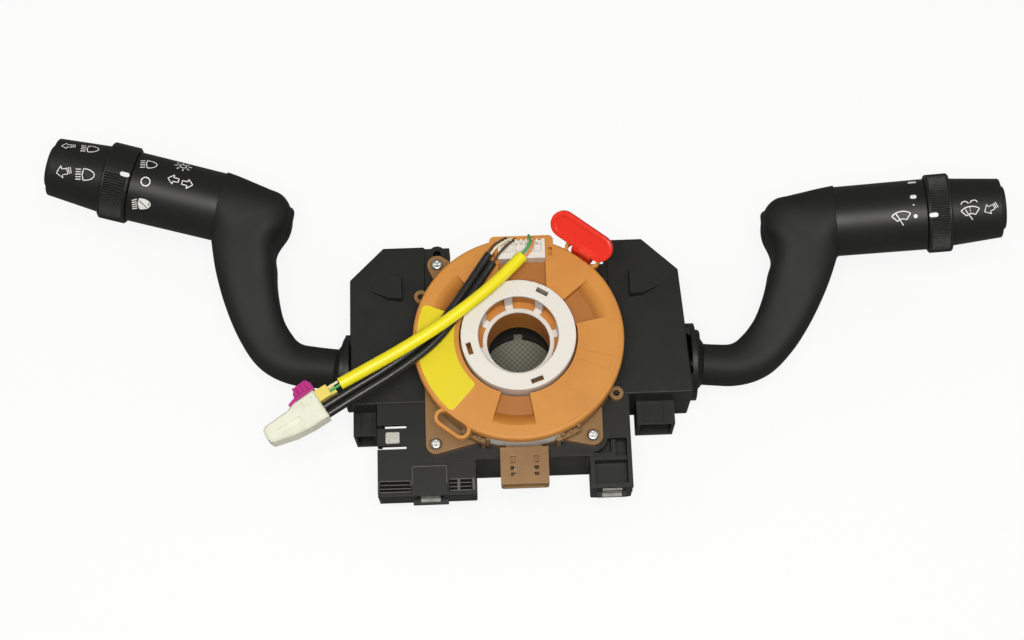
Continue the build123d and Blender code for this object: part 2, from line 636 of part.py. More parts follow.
def tip(side):
    """Domed disc in the end cap: a fixed plug on the left, the push button on the right."""
    end = side.handle_length
    body = tube(BUTTON_R, 0, end - BUTTON_PROUD - 4 + 0.01, end)
    body = fillet(body.edges().group_by(Axis.Z)[-1], 1.6)
    return on_handle(side, body)


# ---------------------------------------------------------------- clock spring
BEARING_TOP = 47.0
EYELETS = ((-48.1, 29.2), (47.3, -24.5))
EYELET_R = 1.6
EAR_TIP_R = 4.9
EAR_WEBS = ((9.0, 9.0, 4.0), (24.3, 17.0, 1.4), (14.0, 13.1, 1.6))


def ear_plate(screw, before, after, inset):
    """Web that carries one screw ear back into the round case, from an angle before it to one after."""
    x, y = screw
    angle = degrees(atan2(y, x))
    left = polar(CASE_R - inset, angle - before)
    right = polar(CASE_R - inset, angle + after)
    discs = [Pos(*left) * Circle(2), Pos(*right) * Circle(2), Pos(x, y) * Circle(EAR_TIP_R)]
    web = make_hull([edge for disc in discs for edge in disc.edges()])
    return extrude(Pos(0, 0, FRONT_Z) * web, EAR_Z)


def stator_case():
    """Round tray for the ribbon, with bearing, three ears, two eyelets and snap clips."""
    floor = FRONT_Z + CASE_FLOOR
    body = tube(CASE_R, 0, FRONT_Z, floor) + tube(CASE_R, CASE_R - WALL, FRONT_Z, CASE_TOP)
    for screw, web in zip(EAR_SCREWS, EAR_WEBS):
        body += ear_plate(screw, *web)
    for x, y in EYELETS:
        body += Pos(x, y, 0) * tube(EYELET_R + 1.8, 0, FRONT_Z + 0.5, FRONT_Z + 4.5)
        reach = sqrt(x ** 2 + y ** 2)
        web = block(CASE_R - 1, max(reach - EYELET_R, CASE_R), -1.2, 1.2, FRONT_Z + 0.5, FRONT_Z + 4.5)
        body += Rot(0, 0, degrees(atan2(y, x))) * web
    for angle in (243, 296):
        body += sector(CASE_R - 0.5, CASE_R + 2.2, angle, 13, FRONT_Z + 8, FRONT_Z + 12)
        body += sector(CASE_R - 0.5, CASE_R + 2.2, angle - 6, 2, FRONT_Z, FRONT_Z + 12)
        body += sector(CASE_R - 0.5, CASE_R + 2.2, angle + 6, 2, FRONT_Z, FRONT_Z + 12)
    body -= tube(CASE_R - WALL, 0, floor, CASE_TOP + 1)
    body += tube(SLEEVE_R + SLEEVE_WALL + 2.5, 0, FRONT_Z, BEARING_TOP)
    body -= tube(SLEEVE_R + SLEEVE_WALL + RUNNING_GAP, 0, 0, BEARING_TOP + 1)
    for x, y in EAR_SCREWS:
        body -= Pos(x, y, 0) * tube(SCREW_R + 0.25, 0, 0, 100)
        body -= Pos(x, y, 0) * tube(SCREW_HEAD_R + 0.7, 0, FRONT_Z + EAR_Z - 0.8, 100)
    for x, y in EYELETS:
        body -= Pos(x, y, 0) * tube(EYELET_R, 0, 0, 100)
    return body


CONNECTOR = (-10.8, 12.6, -CASE_R - 19.3, -CASE_R - 1.0, FRONT_Z, FRONT_Z + 10.0)


def stator_connector():
    """Connector block below the case: mouth downwards, two columns of slots on its face."""
    x0, x1, y0, y1, z0, z1 = CONNECTOR
    body = block(x0, x1, y0, y1, z0, z1)
    body = fillet(body.edges().filter_by(Axis.Z).group_by(Axis.Y)[0], 1.2)
    body -= block(x0 + 1.6, x1 - 1.6, y0 - 1, y1 - 7, z0 + 1.6, z1 - 1.6)
    middle = (x0 + x1) / 2
    for side in (-1, 1):
        for row, long in ((y1 - 6.2, 3.4), (y1 - 10.4, 2.0), (y1 - 13.4, 1.6)):
            x = middle + side * 5.6
            body -= block(x - 1.3, x + 1.3, row - long / 2, row + long / 2, z1 - 2.2, z1 + 1)
    throat = block(x0 + 3, x1 - 3, y1 - 0.01, -sqrt(CASE_R ** 2 - x1 ** 2) - 0.6, z0, z1 - 3)
    return body + (throat - tube(CASE_R + 0.01, 0, 0, 100))


def stator_terminals():
    """Flat pins inside the connector block."""
    x0, x1, y0, y1, z0, z1 = CONNECTOR
    middle = (z0 + z1) / 2
    return [block(x - 0.4, x + 0.4, y0 + 4, y1 - 7, middle - 0.3, middle + 0.3)
            for x in (x0 + 4 + 3.0 * step for step in range(6))]


RIBBON = 0.5
RIBBON_TURNS = 4
RIBBON_PITCH = 2.2


def ribbon_cable():
    """Flat cable wound in the case, as half circles of growing radius."""
    inner, z0, z1 = 37.0, FRONT_Z + CASE_FLOOR + 0.3, CASE_TOP - 2
    step = RIBBON_PITCH / 2
    edges = []
    for half in range(2 * RIBBON_TURNS):
        radius = inner + half * step
        centre = step / 2 if half % 2 else 0
        sign = 1 if half % 2 == 0 else -1
        start = (centre + sign * radius, 0)
        middle = (centre, sign * radius)
        finish = (centre - sign * radius, 0)
        edges.append((start, middle, finish))
    path, last = [], None
    for start, middle, finish in edges:
        if last is not None:
            start = last
            radius = abs(finish[0] - start[0]) / 2
            middle = ((start[0] + finish[0]) / 2, radius if middle[1] > 0 else -radius)
        path.append(ThreePointArc(start, middle, finish))
        last = finish
    section = Plane((inner, 0, (z0 + z1) / 2), x_dir=(1, 0, 0), z_dir=(0, 1, 0)) * Rectangle(RIBBON, z1 - z0)
    wire = Wire([Pos(0, 0, (z0 + z1) / 2) * edge for edge in path])
    return sweep(section, path=wire)


FLANGE_Z = COLLAR_FLOOR - 1.5 - 2.0
TAB_ANGLES = (35, 80, 125, 170, 350)


def rotor_sleeve():
    """Turning tube with the flange that carries the disc and the snap tabs for the collar."""
    inner = COLLAR_R - COLLAR_RIM
    body = tube(SLEEVE_R + SLEEVE_WALL, 0, SLEEVE_REAR, FLANGE_Z + 1)
    body += tube(34.0, 0, FLANGE_Z, FLANGE_Z + 2)
    body += tube(34.0, COLLAR_R + 1.0, FLANGE_Z, DISC_FACE - DISC_THICK)
    for angle in TAB_ANGLES:
        body += sector(inner + 0.4, inner + 2.2, angle, 30, FLANGE_Z + 1, COLLAR_FACE - 4)
    return body - tube(SLEEVE_R, 0, 0, 100)


def centre_collar():
    """White double-walled collar: front rim, inner flange, windows and three key slots."""
    inner = COLLAR_R - COLLAR_RIM
    base = FLANGE_Z + 2
    body = tube(COLLAR_R, COLLAR_R - 1.5, base, COLLAR_FACE)
    body += tube(inner, inner - 1.5, base, COLLAR_FACE)
    body += tube(inner, HUB_R, base, COLLAR_FLOOR)
    body += tube(COLLAR_R, inner - 1.5, COLLAR_FACE - 1.5, COLLAR_FACE)
    body = fillet(body.edges().filter_by(GeomType.CIRCLE).group_by(Axis.Z)[-1], 0.5)
    for angle in TAB_ANGLES:
        body -= sector(inner - 3.4, inner + 0.3, angle, 33, base - 1, COLLAR_FACE - 1.5)
    for angle in (60, 195, 290):
        body -= Rot(0, 0, angle) * block(COLLAR_R - 4.6, COLLAR_R - 2.2, -3.1, 3.1, COLLAR_FACE - 2, COLLAR_FACE + 1)
    return body


POCKET = (29.6, 44.4)      # inner and outer radius of the three pockets in the disc
POCKET_WIDTH = 27.4
POCKET_DEPTH = 4.0
POCKET_SLOPE = 6.0         # radial run of the slope at its outer edge
HEADER = (-8.6, 14.6, 39.6, 49.8)         # outline of the white header connector
HEADER_TOP = 66.6
NOTCHES = 8                # entries for leads along the header's upper wall
NOTCH_X = -6.1
NOTCH_PITCH = 2.6


def rotor_cover():
    """Disc with three stepped pockets, the header recess and two rim loops."""
    rear = DISC_FACE - DISC_THICK
    body = tube(DISC_R, 0, rear, DISC_FACE)
    body = fillet(body.edges().group_by(Axis.Z)[-1], 1.4)
    x0, x1, y0, y1 = HEADER
    surround = block(x0 - 4.2, x1 + 4.2, y0, y1 + 2.6, rear, DISC_FACE)
    body += fillet(surround.edges().filter_by(Axis.Z).group_by(Axis.Y)[-1], 2.5)
    for angle in (EAR_ANGLE, EAR_ANGLE + 180):
        loop = Pos(*polar(LOOP_R, angle), 0) * Rot(0, 0, angle + 90) * stadium(19.5, 9.0, rear + 0.6, DISC_FACE - 0.8)
        body += loop
    for angle in (EAR_ANGLE, EAR_ANGLE + 180):
        body -= Pos(*polar(LOOP_R, angle), 0) * Rot(0, 0, angle + 90) * stadium(16.3, 5.8, 0, 100)
    body -= tube(COLLAR_R + 1.0, 0, 0, 100)
    inner, outer = POCKET
    floor, over = DISC_FACE - POCKET_DEPTH, POCKET_SLOPE / POCKET_DEPTH
    profile = Polyline((inner - 2, floor), (outer - POCKET_SLOPE, floor), (outer + over, DISC_FACE + 1),
                       (inner - 2, DISC_FACE + 1), close=True)
    pocket = revolve(Plane.XZ * make_face(profile), Axis.Z, POCKET_WIDTH)
    for angle in (270, 30, 150):
        body -= Rot(0, 0, angle + ROTOR_TURN - POCKET_WIDTH / 2) * pocket
    body -= block(x0 - 0.05, x1 + 0.05, y0 - 0.05, y1 + 0.05, DISC_FACE - 4.4, 100)
    body -= block(x0, x1, COLLAR_R - 6, y0, DISC_FACE - 3.6, 100)
    for x in (x0 - 2.6, x1 + 2.6):
        body -= block(x - 0.9, x + 0.9, y0 + 2, y0 + 6.4, DISC_FACE - 3, 100)
    return body


def header_connector():
    """White two-way header in the disc, with crenellated entry for the leads."""
    x0, x1, y0, y1 = HEADER
    body = block(x0, x1, y0, y1, DISC_FACE - 4.4, HEADER_TOP)
    body -= block(x0 + 1.6, x1 - 1.6, y0 + 3.4, y1 - 2.2, HEADER_TOP - 3, HEADER_TOP + 1)
    for step in range(NOTCHES):
        x = NOTCH_X + NOTCH_PITCH * step
        half = LEAD_R + 0.2
        body -= block(x - half, x + half, y1 - 2.4, y1 + 1, HEADER_TOP - 2.2, HEADER_TOP + 1)
    for share in (0.35, 0.72):
        x = x0 + (x1 - x0) * share
        body += block(x - 0.6, x + 0.6, y0 + 3.3, y1 - 2.1, HEADER_TOP - 3.1, HEADER_TOP - 2.0)
    return body


CAM_R = 24.0
CAM_LOBE_R = 27.0
PAWL_TAIL = -43.0


def cancel_cam():
    """Lobed ring on the sleeve's rear end that cancels the turn signal."""
    body = tube(CAM_R, SLEEVE_R + SLEEVE_WALL + 0.02, SLEEVE_REAR, SLEEVE_REAR + 4)
    for angle in (90, 270):
        body += sector(CAM_R - 1, CAM_LOBE_R, angle, 26, SLEEVE_REAR, SLEEVE_REAR + 4)
    return body


def cancel_pawl(play=0.0):
    """Retracted finger beside the cam, held in a slot of the cam well's wall."""
    rear = SLEEVE_REAR - 0.5
    return block(PAWL_TAIL, -CAM_LOBE_R - 1.2, -3.0 - play, 3.0 + play, rear, rear + 4.0 + play)


# ---------------------------------------------------------------- transport lock
GRIP = (35.0, 13.5, 3.4)   # length, width and thickness of the finger grip
GRIP_AT = (32.8, 48.2, 71.5)
GRIP_HEADING = -38.5
GRIP_LEAN = 35.0           # the grip rises this many degrees from the disc's plane


def lock_tab():
    """Red pull-out tab: rimmed grip on a blade that stands in the rim loop."""
    heading = radians(GRIP_HEADING)
    lean = radians(GRIP_LEAN)
    along = Vector(cos(heading), sin(heading), 0)
    up = Vector(-sin(heading) * cos(lean), cos(heading) * cos(lean), sin(lean))
    plane = Plane(GRIP_AT, x_dir=along, z_dir=along.cross(up))
    length, width, thick = GRIP
    grip = stadium(length, width, -thick / 2, thick / 2)
    grip = fillet(grip.edges().group_by(Axis.Z)[-1] + grip.edges().group_by(Axis.Z)[0], 1.0)
    recess = stadium(length - 5, width - 5, thick / 2 - 0.8, thick)
    grip = plane * (grip - recess - mirror(recess, about=Plane.XY))
    loop = Pos(*polar(LOOP_R, EAR_ANGLE), 0) * Rot(0, 0, EAR_ANGLE + 90)
    blade = loop * block(-5.5, 5.5, -1.9, 1.9, DISC_FACE - DISC_THICK + 0.2, GRIP_AT[2] - 4.6)
    stem = loop * block(-5.5, 1.5, -1.9, 1.9, GRIP_AT[2] - 6, GRIP_AT[2] - 1.5)
    return grip + blade + stem


# ---------------------------------------------------------------- harness
YELLOW_ROUTE = ((3.2, 39.2, 70.6), (-7.8, 27.6, 71.8), (-22.6, 15.2, 72.0), (-38.0, 4.2, 72.0),
                (-55.0, -6.1, 71.4), (-71.0, -14.6, 70.4), (-86.2, -22.3, 69.2))
BLACK_A_ROUTE = ((-12.9, 42.3, 67.0), (-16.9, 36.8, 66.5), (-24.3, 25.7, 66.4), (-33.6, 12.4, 66.4),
                 (-44.0, -0.6, 66.5), (-62.3, -13.6, 66.4), (-82.54, -25.51, 66.4), (-94.43, -32.9, 66.4))
BLACK_B_ROUTE = ((-11.1, 37.8, 66.9), (-15.3, 31.84, 66.5), (-20.93, 23.4, 66.4), (-30.33, 9.95, 66.4),
                 (-41.17, -3.6, 66.5), (-60.08, -17.03, 66.4), (-80.46, -29.03, 66.4), (-92.26, -36.38, 66.4))
LEAD_ROUTES = {
    "brown_leads": (((-13.5, 42.83, 67.31), (-11.1, 46.1, 67.6), (-7.2, 49.2, 66.6), (-4.2, 51.7, 63.2)),
                    ((-11.0, 37.9, 67.2), (-7.6, 42.8, 67.6), (-3.0, 47.6, 67.0), (0.3, 51.1, 63.4))),
    "green_leads": (((2.64, 39.92, 71.1), (5.94, 43.4, 70.8), (7.6, 47.4, 69.0), (6.9, 52.8, 63.5)),
                    ((-86.19, -22.77, 69.35), (-91.1, -25.83, 69.35))),
    "pale_leads": (((-12.2, 41.9, 67.31), (-9.4, 45.8, 67.66), (-4.6, 49.0, 66.7), (-1.6, 51.5, 63.3)),
                   ((3.91, 38.64, 70.3), (7.07, 41.97, 69.95), (8.9, 46.3, 68.3), (8.5, 51.6, 63.6)),
                   ((-87.45, -20.84, 68.2), (-92.37, -23.79, 67.8))),
}
PLUG_AT = (-95.3, -31.5, 66.4)
PLUG_HEADING = 211.9
PLUG_THICK = 10.0
PLUG_TOP = PLUG_THICK / 2
INSERT = (-9.5, -6.6, -0.7)      # outer end, and the two sides, of the plug's yellow insert


def lead_channels():
    """Grooves that the leads lie in where they cross the header and dive into the disc."""
    return [cord(route, LEAD_R + 0.12) for routes in LEAD_ROUTES.values() for route in routes if len(route) > 2]


def plug_frame(body):
    """Places a piece drawn about the plug's wide end, with +X towards its narrow end."""
    return Pos(*PLUG_AT) * Rot(0, 0, PLUG_HEADING) * body


def airbag_plug():
    """Tapered plug body; the leads enter its wide end and the lock sits on its upper edge."""
    outline = [(0, -7.4), (11, -6.8), (15.5, -5.3), (28.4, -4.6), (30.4, -2.8), (30.4, 1.4), (29.2, 4.0),
               (18.1, 7.0), (9, 7.9), (0, 7.9)]
    body = prism(outline, -PLUG_TOP, PLUG_TOP)
    body = chamfer(body.edges().filter_by(Axis.Z, reverse=True).group_by(Axis.Z)[-1], 0.9)
    body -= block(12, 25, 0.4, 3.2, PLUG_TOP - 0.8, PLUG_THICK)
    for x in (3.0, 5.4, 7.8):
        body -= block(x - 0.5, x + 0.5, -4.8, -1.6, PLUG_TOP - 0.6, PLUG_THICK)
    return plug_frame(body)


def plug_insert():
    """Yellow insert that stands out of the plug's wide end, with a step for the leads."""
    x, y0, y1 = INSERT
    body = block(x + 3, 0, y0, y1, -4.0, 3.6)
    body += block(x, x + 3.01, y1 - 3.4, y1, -4.0, 2.2) + block(x, x + 3.01, y0, y1, -4.0, -1.0)
    return plug_frame(body)


def plug_lock():
    """Toothed lock on the plug's upper edge, with a leg along the plug and a second finger at the insert."""
    body = prism([(-1.0, -7.5), (8.7, -7.05), (9.2, -10.5), (6.6, -13.2), (1.0, -13.6), (-1.0, -11.0)], -2.0, 4.6)
    for step in range(4):
        x = 0.2 + 2.3 * step
        body += block(x, x + 1.1, -12.6, -8.4, 4.5, 6.6)
    body += prism([(8.6, -7.6), (13.4, -6.3), (13.4, -8.0), (9.0, -9.4)], -1.0, 3.0)
    return plug_frame(body)


# ---------------------------------------------------------------- assembly
def build_fixed():
    for name, piece in carrier_pieces().items():
        keep(name, piece)
    clips = [spring_clip((LATCH[0] + LATCH[1]) / 2, LATCH[2] + 2.3),
             spring_clip((RIGHT_BRACKET[0] + RIGHT_BRACKET[1]) / 2, RIGHT_BRACKET[2] - 1.2)]
    keep("spring_clips", clips)
    seat = FRONT_Z + EAR_Z - 0.8
    keep("ear_screws", [pan_screw(x, y, seat, SCREW_LENGTH - 2 + EAR_Z) for x, y in EAR_SCREWS])
    keep("stator_case", stator_case())
    keep("stator_connector", stator_connector())
    keep("ribbon_cable", ribbon_cable())
    keep("cancel_pawl", cancel_pawl())
    keep("terminals", stator_terminals() + socket_pins(LEFT) + socket_pins(RIGHT))


def build_switch(side):
    pieces = {"switch_case": switch_case, "switch_cover": switch_cover, "snout": snout,
              "connector_socket": connector_socket, "circuit_board": circuit_board,
              "detent_block": detent_block, "gimbal": gimbal, "lever_core": lever_core,
              "pivot_pin": pivot_pin, "detent_plunger": detent_plunger, "detent_spring": detent_spring,
              "lever_arm": lever_arm,
              "elbow_cap": elbow_cap, "barrel": barrel, "ring": knurled_ring, "end_cap": end_cap}
    for name, maker in pieces.items():
        keep(f"{side.name}_{name}", maker(side))
    keep("right_push_button" if side is RIGHT else "left_end_plug", tip(side))


def build_rotor():
    channels = lead_channels()
    keep("rotor_cover", rotor_cover() - channels)
    keep("rotor_sleeve", rotor_sleeve())
    keep("centre_collar", centre_collar())
    keep("header_connector", header_connector() - channels)
    keep("cancel_cam", cancel_cam())
    keep("lock_tab", lock_tab())
    keep("yellow_sleeve", cord(YELLOW_ROUTE, SLEEVE_YELLOW_R))
    keep("black_sleeve_a", cord(BLACK_A_ROUTE, SLEEVE_BLACK_R))
    keep("black_sleeve_b", cord(BLACK_B_ROUTE, SLEEVE_BLACK_R))
    for name, routes in LEAD_ROUTES.items():
        keep(name, [cord(route, LEAD_R) for route in routes])
    keep("airbag_plug", airbag_plug())
    keep("plug_insert", plug_insert())
    keep("plug_lock", plug_lock())


def write_parts():
    os.makedirs("parts", exist_ok=True)
    for name, body in NODES.items():
        solids = body if isinstance(body, list) else body.solids()
        export_step(Compound(children=[solid.solid() for solid in solids]), f"parts/{name}.step")
        print(name, len(solids))


build_fixed()
for stalk in (LEFT, RIGHT):
    build_switch(stalk)
build_rotor()
write_parts()
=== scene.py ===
"""Dresses the combination stalk switch: camera, harness, finishes, markings and studio.

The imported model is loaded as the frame, in metres. Every mesh made here is worked out in
millimetres in the same frame and scaled once, when it is laid.
"""

import json
import logging
import math
from dataclasses import dataclass, field
from enum import Enum
from typing import Any, Callable, Mapping, Optional, Sequence, Union

import bmesh
import bpy
import numpy as np
from mathutils import Matrix, Vector


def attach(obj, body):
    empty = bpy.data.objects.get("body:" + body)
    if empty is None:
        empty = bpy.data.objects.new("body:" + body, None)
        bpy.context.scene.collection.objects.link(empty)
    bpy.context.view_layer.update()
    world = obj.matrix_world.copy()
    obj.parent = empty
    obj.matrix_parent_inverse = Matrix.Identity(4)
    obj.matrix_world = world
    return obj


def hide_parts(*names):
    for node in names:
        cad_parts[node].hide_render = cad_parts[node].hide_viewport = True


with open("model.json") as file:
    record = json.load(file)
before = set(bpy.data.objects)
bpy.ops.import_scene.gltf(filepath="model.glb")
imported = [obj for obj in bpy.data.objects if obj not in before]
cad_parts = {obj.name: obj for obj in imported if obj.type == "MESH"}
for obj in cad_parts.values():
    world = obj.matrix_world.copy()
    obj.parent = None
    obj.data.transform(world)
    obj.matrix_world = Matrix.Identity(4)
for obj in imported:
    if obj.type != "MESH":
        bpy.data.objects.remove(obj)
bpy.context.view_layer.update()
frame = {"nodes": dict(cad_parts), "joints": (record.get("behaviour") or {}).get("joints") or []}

LOG = logging.getLogger("stalk_switch")
MM = 0.001
Colour = tuple[float, float, float]
Point = tuple[float, float, float]
Spot = tuple[float, float]
Bend = Callable[[np.ndarray, np.ndarray, np.ndarray], np.ndarray]
Stroke = Sequence[tuple[float, float]]


class Body(Enum):
    """The moving bodies that new pieces ride on."""

    HOUSING = "housing"
    ROTOR = "rotor"
    LEFT_LEVER = "left_lever"
    RIGHT_LEVER = "right_lever"
    LEFT_RING = "left_ring"
    RIGHT_RING = "right_ring"


# ---------------------------------------------------------------- shader graph


class Signal:
    """A shader socket that takes part in arithmetic and adds the Math nodes that it needs."""

    def __init__(self, graph: "Graph", socket: bpy.types.NodeSocket) -> None:
        """Wraps one output socket of the graph."""
        self.graph = graph
        self.socket = socket

    def _math(self, operation: str, *terms: "Term") -> "Signal":
        """One Math node over the terms."""
        return self.graph.node("ShaderNodeMath", {"operation": operation}, dict(enumerate(terms)))[0]

    def __add__(self, other: "Term") -> "Signal":
        """Sum."""
        return self._math("ADD", self, other)

    def __radd__(self, other: "Term") -> "Signal":
        """Sum with the plain number first."""
        return self._math("ADD", other, self)

    def __sub__(self, other: "Term") -> "Signal":
        """Difference."""
        return self._math("SUBTRACT", self, other)

    def __rsub__(self, other: "Term") -> "Signal":
        """Difference with the plain number first."""
        return self._math("SUBTRACT", other, self)

    def __mul__(self, other: "Term") -> "Signal":
        """Product."""
        return self._math("MULTIPLY", self, other)

    def __rmul__(self, other: "Term") -> "Signal":
        """Product with the plain number first."""
        return self._math("MULTIPLY", other, self)

    def __truediv__(self, other: "Term") -> "Signal":
        """Quotient."""
        return self._math("DIVIDE", self, other)

    def __pow__(self, other: "Term") -> "Signal":
        """Power."""
        return self._math("POWER", self, other)

    def above(self, threshold: "Term") -> "Signal":
        """1 where the signal is over the threshold, else 0."""
        return self._math("GREATER_THAN", self, threshold)

    def smooth(self, low: float, high: float) -> "Signal":
        """Eases from 0 at low to 1 at high."""
        settings = {"interpolation_type": "SMOOTHSTEP"}
        return self.graph.node("ShaderNodeMapRange", settings, {0: self, 1: low, 2: high, 3: 0.0, 4: 1.0})[0]

    def clamped(self) -> "Signal":
        """Held between 0 and 1."""
        return self.graph.node("ShaderNodeClamp", {}, {0: self})[0]


Term = Union[Signal, float, int, Sequence[float]]


class Graph:
    """The node tree of one material or of the world, built node by node."""

    def __init__(self, tree: bpy.types.NodeTree) -> None:
        """Empties the tree.

        Args:
            tree: the node tree to fill.
        """
        self.tree = tree
        tree.nodes.clear()

    def node(self, kind: str, settings: Mapping[str, Any], inputs: Mapping[Any, Term]) -> "Outputs":
        """Adds one node.

        Args:
            kind: the node's type name.
            settings: properties that are set first; "stops" holds a colour ramp's stops.
            inputs: values or signals by socket index or name.

        Returns:
            The node's outputs, by index or name.
        """
        made = self.tree.nodes.new(kind)
        for name, value in settings.items():
            if name == "stops":
                self._fill_ramp(made.color_ramp, value)
            else:
                setattr(made, name, value)
        for key, value in inputs.items():
            if isinstance(value, Signal):
                self.tree.links.new(value.socket, made.inputs[key])
            else:
                made.inputs[key].default_value = value
        return Outputs(self, made)

    @staticmethod
    def _fill_ramp(ramp: bpy.types.ColorRamp, stops: Sequence[tuple[float, Colour]]) -> None:
        """Sets a ramp's stops, each a place and a colour."""
        while len(ramp.elements) < len(stops):
            ramp.elements.new(1.0)
        for element, (place, colour) in zip(ramp.elements, stops):
            element.position = place
            element.color = (*colour, 1.0)

    def place(self) -> Signal:
        """Object coordinates, which stay with the piece."""
        return self.node("ShaderNodeTexCoord", {}, {})["Object"]

    def noise(self, per_mm: float, detail: float = 2.0, stretch: Point = (1.0, 1.0, 1.0)) -> Signal:
        """Noise in the object's own space.

        Args:
            per_mm: how many features fall on a millimetre.
            detail: octaves of finer noise.
            stretch: factor on each axis.

        Returns:
            A signal around 0.5.
        """
        where = self.node("ShaderNodeMapping", {}, {"Vector": self.place(), "Scale": stretch})[0]
        inputs = {"Vector": where, "Scale": per_mm / MM, "Detail": detail, "Roughness": 0.6}
        return self.node("ShaderNodeTexNoise", {}, inputs)[0]

    def mix(self, share: Term, first: Term, second: Term) -> Signal:
        """A blend of two colours by a share from 0 to 1."""
        settings = {"data_type": "RGBA"}
        return self.node("ShaderNodeMix", settings, {0: share, 6: _rgba(first), 7: _rgba(second)})[2]

    def split(self, vector: Signal) -> tuple[Signal, Signal, Signal]:
        """The three parts of a vector."""
        parts = self.node("ShaderNodeSeparateXYZ", {}, {0: vector})
        return parts[0], parts[1], parts[2]

    def eased_normal(self, radius_mm: float) -> Signal:
        """The surface normal with its sharp edges eased to a small radius."""
        return self.node("ShaderNodeBevel", {"samples": 4}, {"Radius": radius_mm * MM})[0]

    def edge(self, eased: Signal) -> Signal:
        """A mask that is 1 on an edge: one less the cosine between the eased and the true normal, scaled."""
        true = self.node("ShaderNodeNewGeometry", {}, {})["Normal"]
        cosine = self.node("ShaderNodeVectorMath", {"operation": "DOT_PRODUCT"}, {0: eased, 1: true})["Value"]
        return ((1.0 - cosine) * 5.0).clamped()

    def bump(self, height: Signal, depth_mm: float, normal: Signal | None = None) -> Signal:
        """A normal that shows a height signal as relief of the given depth."""
        inputs: dict[str, Term] = {"Height": height, "Distance": depth_mm * MM, "Strength": 1.0}
        if normal is not None:
            inputs["Normal"] = normal
        return self.node("ShaderNodeBump", {}, inputs)[0]


class Outputs:
    """The outputs of one node, as signals."""

    def __init__(self, graph: Graph, made: bpy.types.Node) -> None:
        """Keeps the node and its graph."""
        self.graph = graph
        self.made = made

    def __getitem__(self, key: int | str) -> Signal:
        """One output by index or name."""
        return Signal(self.graph, self.made.outputs[key])


def _rgba(value: Term) -> Term:
    """A colour with its alpha, or a signal as it is."""
    if isinstance(value, Signal) or len(value) == 4:
        return value
    return (*value, 1.0)


# ---------------------------------------------------------------- finishes


@dataclass(frozen=True)
class PaintedRecessShade:
    """Recesses in a round face, which are darker than the face.

    The darker colour is painted shade. Lengths are in millimetres.
    """

    reach: float
    face: float
    floor: float
    shade: Colour
    strength: float = 0.8

    def share(self, graph: Graph) -> Signal:
        """How far a point lies in a recess, from 0 on the face to the full strength at the floor."""
        x, y, z = graph.split(graph.place())
        square = x * x + y * y
        inside = 1.0 - square.smooth((self.reach * MM) ** 2, ((self.reach + 1.0) * MM) ** 2)
        depth = 1.0 - z.smooth(self.floor * MM, self.face * MM)
        return inside * depth * self.strength


@dataclass(frozen=True)
class MouldedPlastic:
    """A moulded plastic: mottled colour, eased edges and a fine grain.

    Colours are linear. The grain is relief on the surface, in millimetres. The rim colour on the edges is
    partly wear and partly a painted glint.
    """

    name: str
    colour: Colour
    shade: Colour
    rim: Colour
    roughness: float = 0.45
    roughness_spread: float = 0.1
    grain_per_mm: float = 3.0
    grain_mm: float = 0.012
    mottle_per_mm: float = 0.05
    mottle: float = 0.5
    rim_share: float = 0.35
    edge_mm: float = 0.35
    reflectance: float = 0.5
    coat: float = 0.0
    # Painted shade for recesses, if given.
    hollow: Optional[PaintedRecessShade] = None

    def material(self) -> bpy.types.Material:
        """Builds the material.

        Returns:
            A Principled material whose colour, roughness and normal vary over the surface.
        """
        made = bpy.data.materials.new(self.name)
        made.use_nodes = True
        made.diffuse_color = (*self.colour, 1.0)
        graph = Graph(made.node_tree)
        cloudy = graph.noise(self.mottle_per_mm, 3.0)
        speckle = graph.noise(self.grain_per_mm, 1.0)
        eased = graph.eased_normal(self.edge_mm)
        # Edges take the lighter rim colour: partly wear, partly a painted glint.
        edge_wear_and_glint = graph.edge(eased) * self.rim_share
        base = graph.mix(cloudy.smooth(0.3, 0.75) * self.mottle, self.colour, self.shade)
        base = graph.mix(edge_wear_and_glint, base, self.rim)
        # Painted shade: the colour darkens in the recesses.
        if self.hollow:
            base = graph.mix(self.hollow.share(graph), base, self.hollow.shade)
        matt = self.roughness + (cloudy - 0.5) * self.roughness_spread * 2.0 + (speckle - 0.5) * 0.08
        normal = graph.bump(speckle, self.grain_mm, eased)
        inputs = {
            "Base Color": base,
            "Roughness": matt,
            "Normal": normal,
            "Specular IOR Level": self.reflectance,
            "Coat Weight": self.coat,
            "Coat Roughness": 0.12,
        }
        shader = graph.node("ShaderNodeBsdfPrincipled", {}, inputs)[0]
        graph.node("ShaderNodeOutputMaterial", {}, {"Surface": shader})
        return made


@dataclass(frozen=True)
class PlatedMetal:
    """A plated or tinned metal: bright, with rolling streaks and faint stain."""

    name: str
    colour: Colour
    stain: Colour
    roughness: float = 0.3
    streak: Point = (0.15, 1.0, 1.0)
    edge_mm: float = 0.12

    def material(self) -> bpy.types.Material:
        """Builds the material.

        Returns:
            A metallic Principled material.
        """
        made = bpy.data.materials.new(self.name)
        made.use_nodes = True
        made.diffuse_color = (*self.colour, 1.0)
        graph = Graph(made.node_tree)
        streaks = graph.noise(2.5, 3.0, self.streak)
        stain = graph.noise(0.35, 2.0)
        base = graph.mix(stain.smooth(0.45, 0.75) * 0.5, self.colour, self.stain)
        normal = graph.bump(streaks, 0.006, graph.eased_normal(self.edge_mm))
        inputs = {
            "Base Color": base,
            "Metallic": 1.0,
            "Roughness": self.roughness + (streaks - 0.5) * 0.25,
            "Normal": normal,
        }
        shader = graph.node("ShaderNodeBsdfPrincipled", {}, inputs)[0]
        graph.node("ShaderNodeOutputMaterial", {}, {"Surface": shader})
        return made


